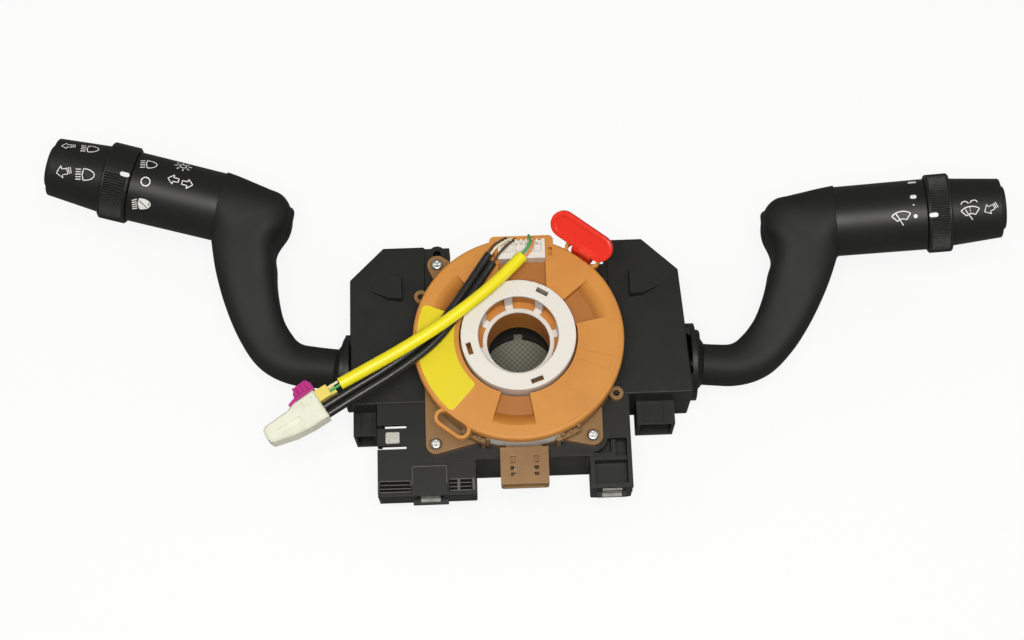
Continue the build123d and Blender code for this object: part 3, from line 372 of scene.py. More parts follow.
@dataclass(frozen=True)
class TwoToneInsulation:
    """Lead insulation that is one colour left of a plane and another right of it."""

    name: str
    left: Colour
    right: Colour
    parting_mm: float
    sheen_roughness: float = 0.35

    def material(self) -> bpy.types.Material:
        """Builds the material: the colours part at one x of the object's own space.

        Returns:
            A Principled material.
        """
        made = bpy.data.materials.new(self.name)
        made.use_nodes = True
        made.diffuse_color = (*self.left, 1.0)
        graph = Graph(made.node_tree)
        across = graph.split(graph.place())[0]
        fine = graph.noise(1.2, 2.0)
        tone = graph.mix(across.above(self.parting_mm * MM), self.left, self.right)
        darker = graph.node("ShaderNodeHueSaturation", {}, {"Color": tone, "Value": 0.75})[0]
        base = graph.mix(fine.smooth(0.4, 0.8) * 0.5, tone, darker)
        inputs = {
            "Base Color": base,
            "Roughness": self.sheen_roughness + (fine - 0.5) * 0.15,
            "Normal": graph.bump(fine, 0.01),
        }
        shader = graph.node("ShaderNodeBsdfPrincipled", {}, inputs)[0]
        graph.node("ShaderNodeOutputMaterial", {}, {"Surface": shader})
        return made


class Palette:
    """Every finish of the switch, built once and handed out by the record's slot name."""

    # The black moulding's light rim colour, on a wide share of its edges, is a painted glint.
    BLACK = MouldedPlastic(
        "black_moulding", (0.0105, 0.0108, 0.0088), (0.0155, 0.0158, 0.0132), (0.10, 0.10, 0.095),
        roughness=0.43, grain_per_mm=2.2, grain_mm=0.010, reflectance=0.30, rim_share=0.55,
    )
    SOFT_BLACK = MouldedPlastic(
        "satin_black", (0.0105, 0.0108, 0.0088), (0.0155, 0.0158, 0.0132), (0.04, 0.04, 0.036),
        roughness=0.42, grain_per_mm=3.4, grain_mm=0.007, reflectance=0.34, rim_share=0.15,
        mottle_per_mm=0.02, edge_mm=0.25,
    )
    FINISHES: Mapping[str, Any] = {
        "black_plastic": BLACK,
        "soft_black": SOFT_BLACK,
        "orange_plastic": MouldedPlastic(
            "amber_moulding", (0.62, 0.255, 0.040), (0.52, 0.20, 0.028), (0.74, 0.34, 0.08),
            roughness=0.5, mottle_per_mm=0.035, mottle=0.6, grain_mm=0.006, edge_mm=0.3, rim_share=0.5,
            # The disc's pockets darken towards their floors: painted shade.
            hollow=PaintedRecessShade(45.5, 63.8, 60.2, (0.34, 0.115, 0.014)),
        ),
        "brown_plastic": MouldedPlastic(
            "smoky_amber", (0.29, 0.155, 0.052), (0.205, 0.10, 0.032), (0.55, 0.29, 0.09),
            roughness=0.38, mottle_per_mm=0.06, mottle=0.7, grain_mm=0.006, edge_mm=0.45, rim_share=0.8,
        ),
        "white_plastic": MouldedPlastic(
            "chalk_white", (0.77, 0.735, 0.69), (0.70, 0.66, 0.61), (0.82, 0.79, 0.75),
            roughness=0.42, mottle=0.4, grain_mm=0.005,
        ),
        "milky_plastic": MouldedPlastic(
            "milky_green_white", (0.82, 0.83, 0.70), (0.66, 0.68, 0.53), (0.86, 0.87, 0.78),
            roughness=0.33, mottle_per_mm=0.14, mottle=0.55, grain_mm=0.004, rim_share=0.5,
        ),
        "magenta_plastic": MouldedPlastic(
            "magenta_moulding", (0.55, 0.018, 0.26), (0.36, 0.008, 0.16), (0.75, 0.12, 0.44), roughness=0.36,
        ),
        "yellow_plastic": MouldedPlastic(
            "straw_yellow", (0.85, 0.70, 0.16), (0.72, 0.55, 0.09), (0.90, 0.80, 0.34), roughness=0.38,
        ),
        "red_plastic": MouldedPlastic(
            "signal_red", (0.88, 0.030, 0.012), (0.76, 0.020, 0.008), (0.93, 0.11, 0.06),
            roughness=0.27, roughness_spread=0.05, grain_mm=0.003, edge_mm=0.5, coat=0.2,
        ),
        "yellow_tubing": MouldedPlastic(
            "yellow_sleeving", (0.90, 0.80, 0.012), (0.80, 0.66, 0.006), (0.93, 0.86, 0.1),
            roughness=0.36, mottle_per_mm=0.03, grain_per_mm=0.7, grain_mm=0.006, rim_share=0.1,
        ),
        "black_tubing": MouldedPlastic(
            "black_sleeving", (0.014, 0.014, 0.015), (0.022, 0.022, 0.023), (0.05, 0.05, 0.05),
            roughness=0.30, mottle_per_mm=0.1, grain_per_mm=1.6, grain_mm=0.012, rim_share=0.1,
        ),
        "brown_insulation": MouldedPlastic(
            "brown_lead", (0.10, 0.047, 0.022), (0.06, 0.028, 0.014), (0.16, 0.09, 0.05), roughness=0.35,
        ),
        "green_insulation": MouldedPlastic(
            "green_lead", (0.06, 0.42, 0.10), (0.035, 0.28, 0.06), (0.12, 0.52, 0.18), roughness=0.35,
        ),
        "pale_insulation": TwoToneInsulation(
            "cream_and_orange_leads", (0.83, 0.74, 0.52), (0.87, 0.33, 0.09), parting_mm=0.5,
        ),
        "zinc_steel": PlatedMetal("zinc_plate", (0.74, 0.75, 0.76), (0.55, 0.54, 0.50), roughness=0.32),
        "tinned_brass": PlatedMetal("tinned_pins", (0.78, 0.68, 0.42), (0.60, 0.52, 0.34), roughness=0.28),
        "circuit_board": MouldedPlastic(
            "green_lacquer", (0.03, 0.19, 0.075), (0.02, 0.13, 0.05), (0.10, 0.28, 0.14), roughness=0.25,
        ),
        "ribbon_film": MouldedPlastic(
            "amber_film", (0.62, 0.42, 0.17), (0.50, 0.31, 0.11), (0.70, 0.52, 0.28), roughness=0.22,
        ),
        "natural_acetal": MouldedPlastic(
            "natural_acetal", (0.80, 0.79, 0.72), (0.74, 0.72, 0.64), (0.84, 0.83, 0.78), roughness=0.36,
        ),
    }
    ARM = MouldedPlastic(
        "matt_black", (0.0115, 0.0118, 0.0096), (0.0165, 0.0168, 0.014), (0.04, 0.04, 0.036),
        roughness=0.58, grain_per_mm=3.4, grain_mm=0.006, reflectance=0.26, rim_share=0.15,
        mottle_per_mm=0.02, edge_mm=0.25,
    )
    # The hub sleeve's amber is partly its own colour and partly painted light: it is lighter than the disc's
    # amber, to lift it out of the shade in the bore.
    HUB = MouldedPlastic(
        "deep_amber", (0.66, 0.27, 0.045), (0.50, 0.19, 0.03), (0.78, 0.38, 0.09),
        roughness=0.42, mottle_per_mm=0.08, mottle=0.7, grain_mm=0.006, edge_mm=0.3, rim_share=0.6,
    )
    RECESS = MouldedPlastic(
        "shadowed_amber", (0.060, 0.024, 0.010), (0.035, 0.014, 0.006), (0.12, 0.05, 0.02), roughness=0.5,
    )
    # A lighter black for the bracket's ribs, bars and hood rims: a painted highlight where glints fall.
    WORN = MouldedPlastic(
        "worn_black", (0.085, 0.084, 0.080), (0.05, 0.05, 0.047), (0.20, 0.195, 0.185), roughness=0.4,
        mottle_per_mm=0.3, rim_share=0.7, edge_mm=0.2,
    )
    # A near-black film laid under the bracket's ribs: painted shade.
    SHADE_FILM = MouldedPlastic(
        "shadowed_black", (0.0035, 0.0035, 0.0032), (0.006, 0.006, 0.0055), (0.01, 0.01, 0.01), roughness=0.7,
        reflectance=0.1,
    )
    SCREW = PlatedMetal("screw_zinc", (0.56, 0.56, 0.54), (0.34, 0.33, 0.30), roughness=0.38)
    CLIP = PlatedMetal("phosphate_steel", (0.20, 0.20, 0.19), (0.10, 0.10, 0.09), roughness=0.45)
    BY_NODE: Mapping[str, Any] = {
        "rotor_sleeve": HUB, "ear_screws": SCREW, "spring_clips": CLIP,
        "left_elbow_cap": ARM, "right_elbow_cap": ARM,
    }
    INK = MouldedPlastic(
        "white_ink", (0.82, 0.82, 0.81), (0.76, 0.76, 0.75), (0.86, 0.86, 0.85),
        roughness=0.4, grain_per_mm=6.0, grain_mm=0.002, edge_mm=0.03,
    )
    LABEL = MouldedPlastic(
        "yellow_film_label", (0.78, 0.64, 0.010), (0.72, 0.58, 0.007), (0.88, 0.76, 0.08),
        roughness=0.34, mottle_per_mm=0.03, grain_per_mm=5.0, grain_mm=0.002, edge_mm=0.06, coat=0.05,
    )
    STRIP = MouldedPlastic(
        "white_film_label", (0.80, 0.79, 0.76), (0.70, 0.69, 0.65), (0.85, 0.84, 0.82),
        roughness=0.35, mottle_per_mm=0.2, grain_per_mm=5.0, grain_mm=0.002, edge_mm=0.05,
    )
    PATCH = MouldedPlastic(
        "pale_pad_print", (0.62, 0.61, 0.55), (0.40, 0.40, 0.36), (0.68, 0.67, 0.62),
        roughness=0.5, mottle_per_mm=0.7, mottle=0.9, grain_per_mm=5.0, grain_mm=0.004, edge_mm=0.04,
    )

    def __init__(self) -> None:
        """Starts with no material made."""
        self._made: dict[str, bpy.types.Material] = {}

    def of(self, finish: Any) -> bpy.types.Material:
        """The material of a finish, made at its first use."""
        if finish.name not in self._made:
            self._made[finish.name] = finish.material()
        return self._made[finish.name]

    def slot(self, name: str) -> bpy.types.Material:
        """The material of one of the record's slots."""
        return self.of(self.FINISHES[name])


# ---------------------------------------------------------------- surfaces


@dataclass
class Shell:
    """Grids of points gathered into one closed mesh.

    A grid has shape (rows, columns, 3) in millimetres. Rows run along the piece and columns round it.
    """

    points: list[np.ndarray] = field(default_factory=list)
    faces: list[np.ndarray] = field(default_factory=list)
    count: int = 0

    def add(self, grid: np.ndarray, round_about: bool = True, capped: bool = True) -> None:
        """Adds one grid.

        Args:
            grid: points of shape (rows, columns, 3).
            round_about: joins the last column to the first.
            capped: closes both ends with a point at the middle of the end row.
        """
        rows, columns = grid.shape[:2]
        if capped:
            ends = [np.repeat(grid[k].mean(0)[None, None], columns, axis=1) for k in (0, -1)]
            grid = np.concatenate((ends[0], grid, ends[1]))
            rows += 2
        index = np.arange(rows * columns).reshape(rows, columns) + self.count
        right = np.roll(index, -1, axis=1) if round_about else index[:, 1:]
        left = index if round_about else index[:, :-1]
        quads = np.stack((left[:-1], right[:-1], right[1:], left[1:]), axis=-1)
        self.points.append(grid.reshape(-1, 3))
        self.faces.append(quads.reshape(-1, 4))
        self.count += rows * columns

    def lay(self, name: str, finish: Any, palette: Palette, body: Body, slot: str) -> bpy.types.Object:
        """Makes the object, with doubled points merged and faces turned outwards.

        Args:
            name: the piece's name.
            finish: its finish.
            palette: where materials are kept.
            body: the body it rides on.
            slot: not used.

        Returns:
            The finished object.
        """
        mesh = bpy.data.meshes.new(name)
        mesh.from_pydata(np.concatenate(self.points) * MM, [], np.concatenate(self.faces).tolist())
        work = bmesh.new()
        work.from_mesh(mesh)
        bmesh.ops.remove_doubles(work, verts=work.verts, dist=1e-6)
        bmesh.ops.dissolve_degenerate(work, edges=work.edges, dist=1e-7)
        bmesh.ops.recalc_face_normals(work, faces=work.faces)
        work.to_mesh(mesh)
        work.free()
        made = bpy.data.objects.new(name, mesh)
        bpy.context.scene.collection.objects.link(made)
        mesh.materials.append(palette.of(finish))
        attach(made, body.value)
        LOG.info("%s: %d faces", name, len(mesh.polygons))
        return made


def unit(vector: Sequence[float]) -> np.ndarray:
    """The vector at length one."""
    array = np.asarray(vector, float)
    return array / np.linalg.norm(array)


def even(path: np.ndarray, step: float) -> np.ndarray:
    """Points along a path at even steps, its first and last kept.

    Args:
        path: points of shape (n, dimensions).
        step: the wanted spacing.

    Returns:
        The new points: each coordinate is interpolated over the running length.
    """
    lengths = np.concatenate(([0.0], np.cumsum(np.linalg.norm(np.diff(path, axis=0), axis=1))))
    at = np.linspace(0.0, lengths[-1], max(2, int(lengths[-1] / step) + 1))
    return np.stack([np.interp(at, lengths, path[:, k]) for k in range(path.shape[1])], axis=1)


def arc(centre: Spot, radius: float, start: float, end: float, count: int = 13) -> list[Spot]:
    """Points of a circular arc between two angles in degrees."""
    angles = np.radians(np.linspace(start, end, count))
    return [(centre[0] + radius * math.cos(a), centre[1] + radius * math.sin(a)) for a in angles]


def ridge(path: np.ndarray, width: float, low: float, high: float) -> np.ndarray:
    """A flat bar along a path in plan.

    Args:
        path: points of shape (n, 2).
        width: of the bar.
        low: height of its underside.
        high: height of its top.

    Returns:
        A grid whose rows run along the bar and whose four columns are its corners.
    """
    heading = np.gradient(path, axis=0)
    side = np.stack((-heading[:, 1], heading[:, 0]), axis=1) * width / 2.0
    side /= np.maximum(np.linalg.norm(heading, axis=1), 1e-9)[:, None]
    edges = np.stack((path - side, path + side, path + side, path - side), axis=1)
    level = np.broadcast_to(np.array((high, high, low, low))[None, :, None], (len(path), 4, 1))
    return np.concatenate((edges, level), axis=2)


def wall_block(radii: Spot, angles: Spot, levels: Spot) -> np.ndarray:
    """A block on a round wall between two radii, two angles in degrees and two heights, as a grid."""
    turn = np.radians(np.linspace(*angles, 9))[:, None]
    reach = np.array((radii[0], radii[1], radii[1], radii[0]))[None]
    level = np.broadcast_to(np.array((levels[0], levels[0], levels[1], levels[1]))[None], (9, 4))
    return np.stack((reach * np.cos(turn), reach * np.sin(turn), level), axis=-1)


def polar(radius: float, angle: float) -> Spot:
    """A point in plan at a radius and an angle in degrees."""
    return radius * math.cos(math.radians(angle)), radius * math.sin(math.radians(angle))


# ---------------------------------------------------------------- camera and studio


@dataclass
class Studio:
    """The camera, the pale floor and the soft lights."""

    camera_mm: Point = (-2.81, -261.34, 870.87)
    tilt: float = 18.5
    roll: float = -2.0
    lens: float = 61.36
    floor_size: float = 6.0
    bore_mm: float = 30.0
    key_watts: float = 10.0
    key_size: float = 0.5
    fill_watts: float = 1.4

    def camera(self) -> None:
        """Sets the camera over the switch, tilted off the column axis and rolled a little."""
        lens = bpy.data.cameras.new("studio_camera")
        lens.lens = self.lens
        lens.sensor_width = 36.0
        lens.clip_end = 20.0
        made = bpy.data.objects.new("studio_camera", lens)
        pitch = Matrix.Rotation(math.radians(self.tilt), 4, "X")
        turn = pitch @ Matrix.Rotation(math.radians(self.roll), 4, "Z")
        made.matrix_world = Matrix.Translation(Vector(self.camera_mm) * MM) @ turn
        bpy.context.scene.collection.objects.link(made)
        bpy.context.scene.camera = made
        bpy.context.scene.view_settings.view_transform = "Standard"

    def floor(self) -> None:
        """A pale sheet under the switch: white, with its shadow, and round the column axis a fine weave on a
        darker grey that is painted shade.
        """
        half = self.floor_size / 2.0
        low = -0.0004
        mesh = bpy.data.meshes.new("studio_floor")
        corners = [(-half, -half, low), (half, -half, low), (half, half, low), (-half, half, low)]
        mesh.from_pydata(corners, [], [(0, 1, 2, 3)])
        made = bpy.data.objects.new("studio_floor", mesh)
        bpy.context.scene.collection.objects.link(made)
        mesh.materials.append(self._floor_finish())

    def _floor_finish(self) -> bpy.types.Material:
        """Diffuse white, with a white glow to rays that look at it straight that fades near the column axis;
        near the axis a woven grey darkened as painted shade, and a dim grey in reflections as painted shade.
        """
        made = bpy.data.materials.new("studio_paper")
        made.use_nodes = True
        graph = Graph(made.node_tree)
        place = graph.place()
        x, y, _ = graph.split(place)
        reach = self.node_length(graph, x, y)
        weave = graph.node("ShaderNodeTexChecker", {}, {"Vector": place, "Scale": 700.0})["Fac"]
        # The weave is a pattern; its dark grey is painted shade, seen through the bore.
        painted_shade_weave = graph.mix(weave, (0.27, 0.27, 0.22), (0.17, 0.17, 0.135))
        outside = reach.smooth(self.bore_mm * MM, 2 * self.bore_mm * MM)
        inputs = {"Color": graph.mix(outside, painted_shade_weave, (0.9, 0.9, 0.9))}
        matt = graph.node("ShaderNodeBsdfDiffuse", {}, inputs)[0]
        # In reflections the floor shows a dim grey: painted shade.
        dim = graph.node("ShaderNodeBsdfDiffuse", {}, {"Color": (0.09, 0.09, 0.085, 1.0)})[0]
        glow = graph.node("ShaderNodeEmission", {}, {"Color": (1.0, 1.0, 1.0, 1.0), "Strength": 1.0})[0]
        rays = graph.node("ShaderNodeLightPath", {}, {})
        share = rays["Is Camera Ray"] * reach.smooth(self.bore_mm * MM, 2.0 * self.bore_mm * MM) * 0.86
        matt = graph.node("ShaderNodeMixShader", {}, {0: rays["Is Glossy Ray"] * 0.85, 1: matt, 2: dim})[0]
        shader = graph.node("ShaderNodeMixShader", {}, {0: share, 1: matt, 2: glow})[0]
        graph.node("ShaderNodeOutputMaterial", {}, {"Surface": shader})
        return made

    @staticmethod
    def node_length(graph: Graph, x: Signal, y: Signal) -> Signal:
        """Distance from the column axis: the square root of x squared plus y squared."""
        return (x * x + y * y) ** 0.5

    def lights(self) -> None:
        """A softbox beside the camera, two side fills and a dim even world."""
        self._softbox("key", (0.0, -0.28, 1.12), self.key_size, self.key_watts)
        self._softbox("fill_left", (-0.9, 0.25, 0.7), 0.7, self.fill_watts)
        self._softbox("fill_right", (0.95, 0.25, 0.7), 0.7, self.fill_watts)
        world = bpy.data.worlds.new("studio")
        world.use_nodes = True
        bpy.context.scene.world = world
        graph = Graph(world.node_tree)
        shade = graph.node("ShaderNodeBackground", {}, {"Color": (1.0, 0.99, 0.96, 1.0), "Strength": 0.22})[0]
        graph.node("ShaderNodeOutputWorld", {}, {"Surface": shade})

    @staticmethod
    def _softbox(name: str, at: Point, size: float, watts: float) -> None:
        """One square area lamp that faces the switch."""
        lamp = bpy.data.lights.new(name, "AREA")
        lamp.size = size
        lamp.energy = watts
        lamp.color = (1.0, 0.985, 0.94)
        made = bpy.data.objects.new(name, lamp)
        aim = Vector((0.0, 0.0, 0.04)) - Vector(at)
        made.matrix_world = Matrix.Translation(at) @ aim.to_track_quat("-Z", "Y").to_matrix().to_4x4()
        bpy.context.scene.collection.objects.link(made)


# ---------------------------------------------------------------- harness


@dataclass
class Harness:
    """The sleeved leads from the rotor's header to the airbag plug, as free cords."""

    palette: Palette
    yellow_diameter: float = 6.0
    black_diameter: float = 4.0
    curve_share: float = 0.998
    yellow_route: Sequence[Point] = (
        (3.2, 39.2, 70.6), (-7.8, 27.6, 71.8), (-22.6, 15.2, 72.0), (-38.0, 4.2, 72.0),
        (-55.0, -6.1, 71.4), (-71.0, -14.6, 70.4), (-86.2, -22.3, 69.2),
    )
    black_route_a: Sequence[Point] = (
        (-12.9, 42.3, 67.0), (-16.9, 36.8, 66.5), (-24.3, 25.7, 66.4), (-33.6, 12.4, 66.4),
        (-44.0, -0.6, 66.5), (-62.3, -13.6, 66.4), (-82.54, -25.51, 66.4), (-94.43, -32.9, 66.4),
    )
    black_route_b: Sequence[Point] = (
        (-11.1, 37.8, 66.9), (-15.3, 31.84, 66.5), (-20.93, 23.4, 66.4), (-30.33, 9.95, 66.4),
        (-41.17, -3.6, 66.5), (-60.08, -17.03, 66.4), (-80.46, -29.03, 66.4), (-92.26, -36.38, 66.4),
    )

    def build(self) -> None:
        """Lays the three sleeves."""
        self._sleeve(
            "yellow_sleeving", self.yellow_route, self.yellow_diameter, "yellow_sleeve", "yellow_tubing",
        )
        for letter, route in (("a", self.black_route_a), ("b", self.black_route_b)):
            self._sleeve(
                f"black_sleeving_{letter}", route, self.black_diameter, f"black_sleeve_{letter}",
                "black_tubing",
            )

    def _sleeve(self, name: str, route: Sequence[Point], diameter: float, node: str, slot: str) -> None:
        """One sleeve on a smooth spline through its route.

        Args:
            name: the piece's name.
            route: control points in millimetres.
            diameter: of the sleeve, in millimetres.
            node: the CAD node that it stands for.
            slot: its material slot.
        """
        line = bpy.data.curves.new(name, "CURVE")
        line.dimensions = "3D"
        line.bevel_depth = diameter * MM / 2.0
        line.bevel_resolution = 6
        line.resolution_u = 12
        line.use_fill_caps = True
        spline = line.splines.new("NURBS")
        spline.points.add(len(route) - 1)
        for control, place in zip(spline.points, route):
            control.co = (*(value * MM for value in place), 1.0)
        spline.order_u = 3
        spline.use_endpoint_u = True
        spline.use_smooth = True
        made = bpy.data.objects.new(name, line)
        bpy.context.scene.collection.objects.link(made)
        line.materials.append(self.palette.slot(slot))
        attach(made, Body.ROTOR.value)
        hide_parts(node)
        LOG.info("%s: laid", name)


# ---------------------------------------------------------------- stalk forms


def eased(stations: np.ndarray, count: int) -> np.ndarray:
    """Rows on a smooth curve through stations that lie unevenly far apart.

    Args:
        stations: values of shape (stations, values), of which the first four are place and heading.
        count: how many rows to return, at even steps.

    Returns:
        The rows of a cubic Hermite curve. The slope at a station is the mean of the slopes of the legs
        beside it, each weighted with the length of the other, so a short leg doesn't overshoot.
    """
    reach = np.diff(stations[:, :4] * (1.0, 1.0, 1.0, 0.25), axis=0)
    legs = np.linalg.norm(reach, axis=1)
    slopes = np.diff(stations, axis=0) / legs[:, None]
    before, after = legs[:-1, None], legs[1:, None]
    inner = (after * slopes[:-1] + before * slopes[1:]) / (before + after)
    tangents = np.concatenate((slopes[:1], inner, slopes[-1:]))
    at = np.concatenate(([0.0], np.cumsum(legs)))
    place = np.linspace(0.0, at[-1], count)
    leg = np.clip(np.searchsorted(at, place, side="right") - 1, 0, len(legs) - 1)
    t = ((place - at[leg]) / legs[leg])[:, None]
    size = legs[leg, None]
    return (
        (2 * t ** 3 - 3 * t ** 2 + 1) * stations[leg] + (t ** 3 - 2 * t ** 2 + t) * size * tangents[leg]
        + (3 * t ** 2 - 2 * t ** 3) * stations[leg + 1] + (t ** 3 - t ** 2) * size * tangents[leg + 1]
    )


@dataclass(frozen=True)
class Stalk:
    """One lever's place and make.

    hand is -1 for the left stalk, which is drawn on the right side and mirrored.
    """

    side: str
    hand: float
    pivot: Point
    park: float
    reach: float
    ring_from: float
    ring_to: float
    lever: Body
    ring: Body
    ribbed: tuple[float, float]

    def world(self, places: np.ndarray) -> np.ndarray:
        """Carries places about the pivot, with +X along the neck, into the unit."""
        turn = math.radians(self.park)
        x = places[..., 0] * math.cos(turn) - places[..., 1] * math.sin(turn) + self.pivot[0]
        y = places[..., 0] * math.sin(turn) + places[..., 1] * math.cos(turn) + self.pivot[1]
        return np.stack((self.hand * x, y, places[..., 2] + self.pivot[2]), axis=-1)


LEFT_STALK = Stalk(
    "left", -1.0, (76.8, -3.7, 24.0), 8.5, 5.7, 59.85, 73.8, Body.LEFT_LEVER, Body.LEFT_RING, (-150.0, -8.0),
)
RIGHT_STALK = Stalk(
    "right", 1.0, (76.9, -3.7, 24.0), -5.5, 0.1, 59.85, 71.7, Body.RIGHT_LEVER, Body.RIGHT_RING,
    (-180.0, 180.0),
)


@dataclass
class ArmSkin:
    """The swan-neck arm and the handle's head as one skin, flat in front, that ends in a lip at the barrel.

    A station holds place, heading, slant, width, depth and the exponent of its section, where
    |u / half width| ** n + |v / half depth| ** n = 1. The last stations fan about the corner
    between arm and barrel.
    """

    stalk: Stalk
    palette: Palette
    columns: int = 96
    rows: int = 170
    neck: Sequence[Sequence[float]] = (
        (15.9, 0.0, 0.0, 0.0, 0.0, 20.8, 20.8, 2.0),
        (22.0, 0.0, 0.1, 1.0, 0.0, 20.9, 20.8, 2.0),
        (30.0, 0.3, 0.4, 6.0, 0.0, 21.2, 20.6, 2.1),
        (41.9, 5.5, 2.5, 33.0, 0.0, 23.6, 21.0, 2.7),
        (49.9, 14.3, 5.5, 58.0, 0.0, 24.4, 22.0, 3.3),
        (56.6, 27.5, 9.5, 71.0, 0.0, 26.9, 24.5, 3.8),
        (60.9, 40.9, 13.6, 77.0, 0.0, 29.8, 28.0, 3.9),
    )
    corner: Point = (80.83, 55.66, 0.0)
    fan: Sequence[Sequence[float]] = (
        (84.0, 17.0, 0.0, 35.0, 31.6, 3.6),
        (76.0, 17.5, 1.0, 39.0, 31.8, 3.5),
        (67.0, 18.0, 2.2, 42.0, 32.2, 3.3),
        (58.0, 18.5, 3.6, 43.3, 32.8, 3.1),
        (51.0, 18.8, 4.8, 42.6, 33.2, 2.9),
        (42.0, 19.1, 6.0, 39.4, 33.8, 2.6),
        (30.0, 19.5, 7.2, 36.8, 34.6, 2.3),
        (17.0, 19.8, 8.3, 35.9, 35.6, 2.1),
        (5.0, 19.95, 9.0, 36.3, 36.3, 2.0),
    )

    def build(self) -> None:
        """Lays the skin in place of the arm."""
        rows = eased(np.array(self._stations()), self.rows)
        angles = np.linspace(0.0, 2.0 * math.pi, self.columns, endpoint=False)
        grid = np.stack([self._section(row, angles) for row in rows])
        rim = ((0.08, 0.22), (0.7, 0.28), (4.0, 0.28))
        lip = [self._section(self._drawn_in(rows[-1], *offsets), angles) for offsets in rim]
        shell = Shell()
        shell.add(self.stalk.world(np.concatenate((grid, lip))))
        name = f"{self.stalk.side}_arm_skin"
        made = shell.lay(name, Palette.ARM, self.palette, self.stalk.lever, "soft_black")
        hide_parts(f"{self.stalk.side}_lever_arm")

    def _stations(self) -> list[tuple[float, ...]]:
        """All stations, those of the fan turned into places about the pivot."""
        shift = self.stalk.reach
        made = [(row[0] + (shift if step else 0.0), *row[1:]) for step, row in enumerate(self.neck)]
        for heading, level, slant, width, depth, power in self.fan:
            turn = math.radians(heading)
            x = self.corner[0] + shift - math.sin(turn) * width / 2.0
            y = self.corner[1] + math.cos(turn) * width / 2.0
            made.append((x, y, level, heading, slant, width, depth, power))
        return made

    @staticmethod
    def _drawn_in(row: np.ndarray, inward: float, forward: float) -> np.ndarray:
        """A copy of a row that is smaller all round and further along its heading."""
        turn = math.radians(row[3])
        ahead = (math.cos(turn) * forward, math.sin(turn) * forward)
        step = np.array((*ahead, 0.0, 0.0, 0.0, -2 * inward, -2 * inward, 0.0))
        return row + step

    @staticmethod
    def _section(row: np.ndarray, angles: np.ndarray) -> np.ndarray:
        """The points of one section."""
        x, y, z, heading, slant, width, depth, power = row
        turn, lean = math.radians(heading), math.radians(slant)
        across = np.array((-math.sin(turn), math.cos(turn), 0.0))
        up = np.array((-math.sin(lean) * math.cos(turn), -math.sin(lean) * math.sin(turn), math.cos(lean)))
        u = np.sign(np.cos(angles)) * np.abs(np.cos(angles)) ** (2.0 / power) * width / 2.0
        v = np.sign(np.sin(angles)) * np.abs(np.sin(angles)) ** (2.0 / power) * depth / 2.0
        return np.array((x, y, z)) + u[:, None] * across + v[:, None] * up


@dataclass
class RibbedRing:
    """A handle's turning ring: fine ribs on its lower part, plain above."""

    stalk: Stalk
    palette: Palette
    outer: float = 19.7
    bore: float = 12.08
    rebate: float = 17.9
    step: float = 8.9
    chamfer: float = 0.7
    margin: float = 1.3
    run_in: float = 0.25
    ribs: int = 100
    columns_per_rib: int = 8
    depth: float = 0.6

    def build(self) -> None:
        """Lays the ring in place of the plain one."""
        handle = HandleAxis(self.stalk.side)
        low, high = self.stalk.ring_from, self.stalk.ring_to
        shoulder = self.outer - self.chamfer
        profile = np.array((
            (low, self.bore, 0.0), (low, shoulder, 0.0), (low + self.chamfer, self.outer, 0.0),
            (low + self.margin, self.outer, 0.0), (low + self.margin + self.run_in, self.outer, 1.0),
            ((low + high) / 2.0, self.outer, 1.0),
            (high - self.margin - self.run_in, self.outer, 1.0), (high - self.margin, self.outer, 0.0),
            (high - self.chamfer, self.outer, 0.0), (high, shoulder, 0.0), (high, self.rebate, 0.0),
            (low + self.step, self.rebate, 0.0), (low + self.step, self.bore, 0.0), (low, self.bore, 0.0),
        ))
        turn = np.linspace(-math.pi, math.pi, self.ribs * self.columns_per_rib, endpoint=False)
        wave = (0.5 - 0.5 * np.cos(turn * self.ribs)) ** 2
        upward = -1.0 if self.stalk.hand > 0 else 1.0
        place = np.degrees(turn) * upward
        first, last = self.stalk.ribbed
        wave = wave * (place > first) * (place < last)
        along = np.repeat(profile[:, :1], len(turn), axis=1)
        radius = profile[:, 1:2] - self.depth * profile[:, 2:3] * wave[None]
        shell = Shell()
        turns = np.repeat(turn[None], len(profile), axis=0)
        shell.add(handle.wrap(along, turns, radius), capped=False)
        name = f"{self.stalk.side}_ribbed_ring"
        made = shell.lay(name, Palette.SOFT_BLACK, self.palette, self.stalk.ring, "soft_black")
        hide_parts(f"{self.stalk.side}_ring")


# ---------------------------------------------------------------- stalk markings


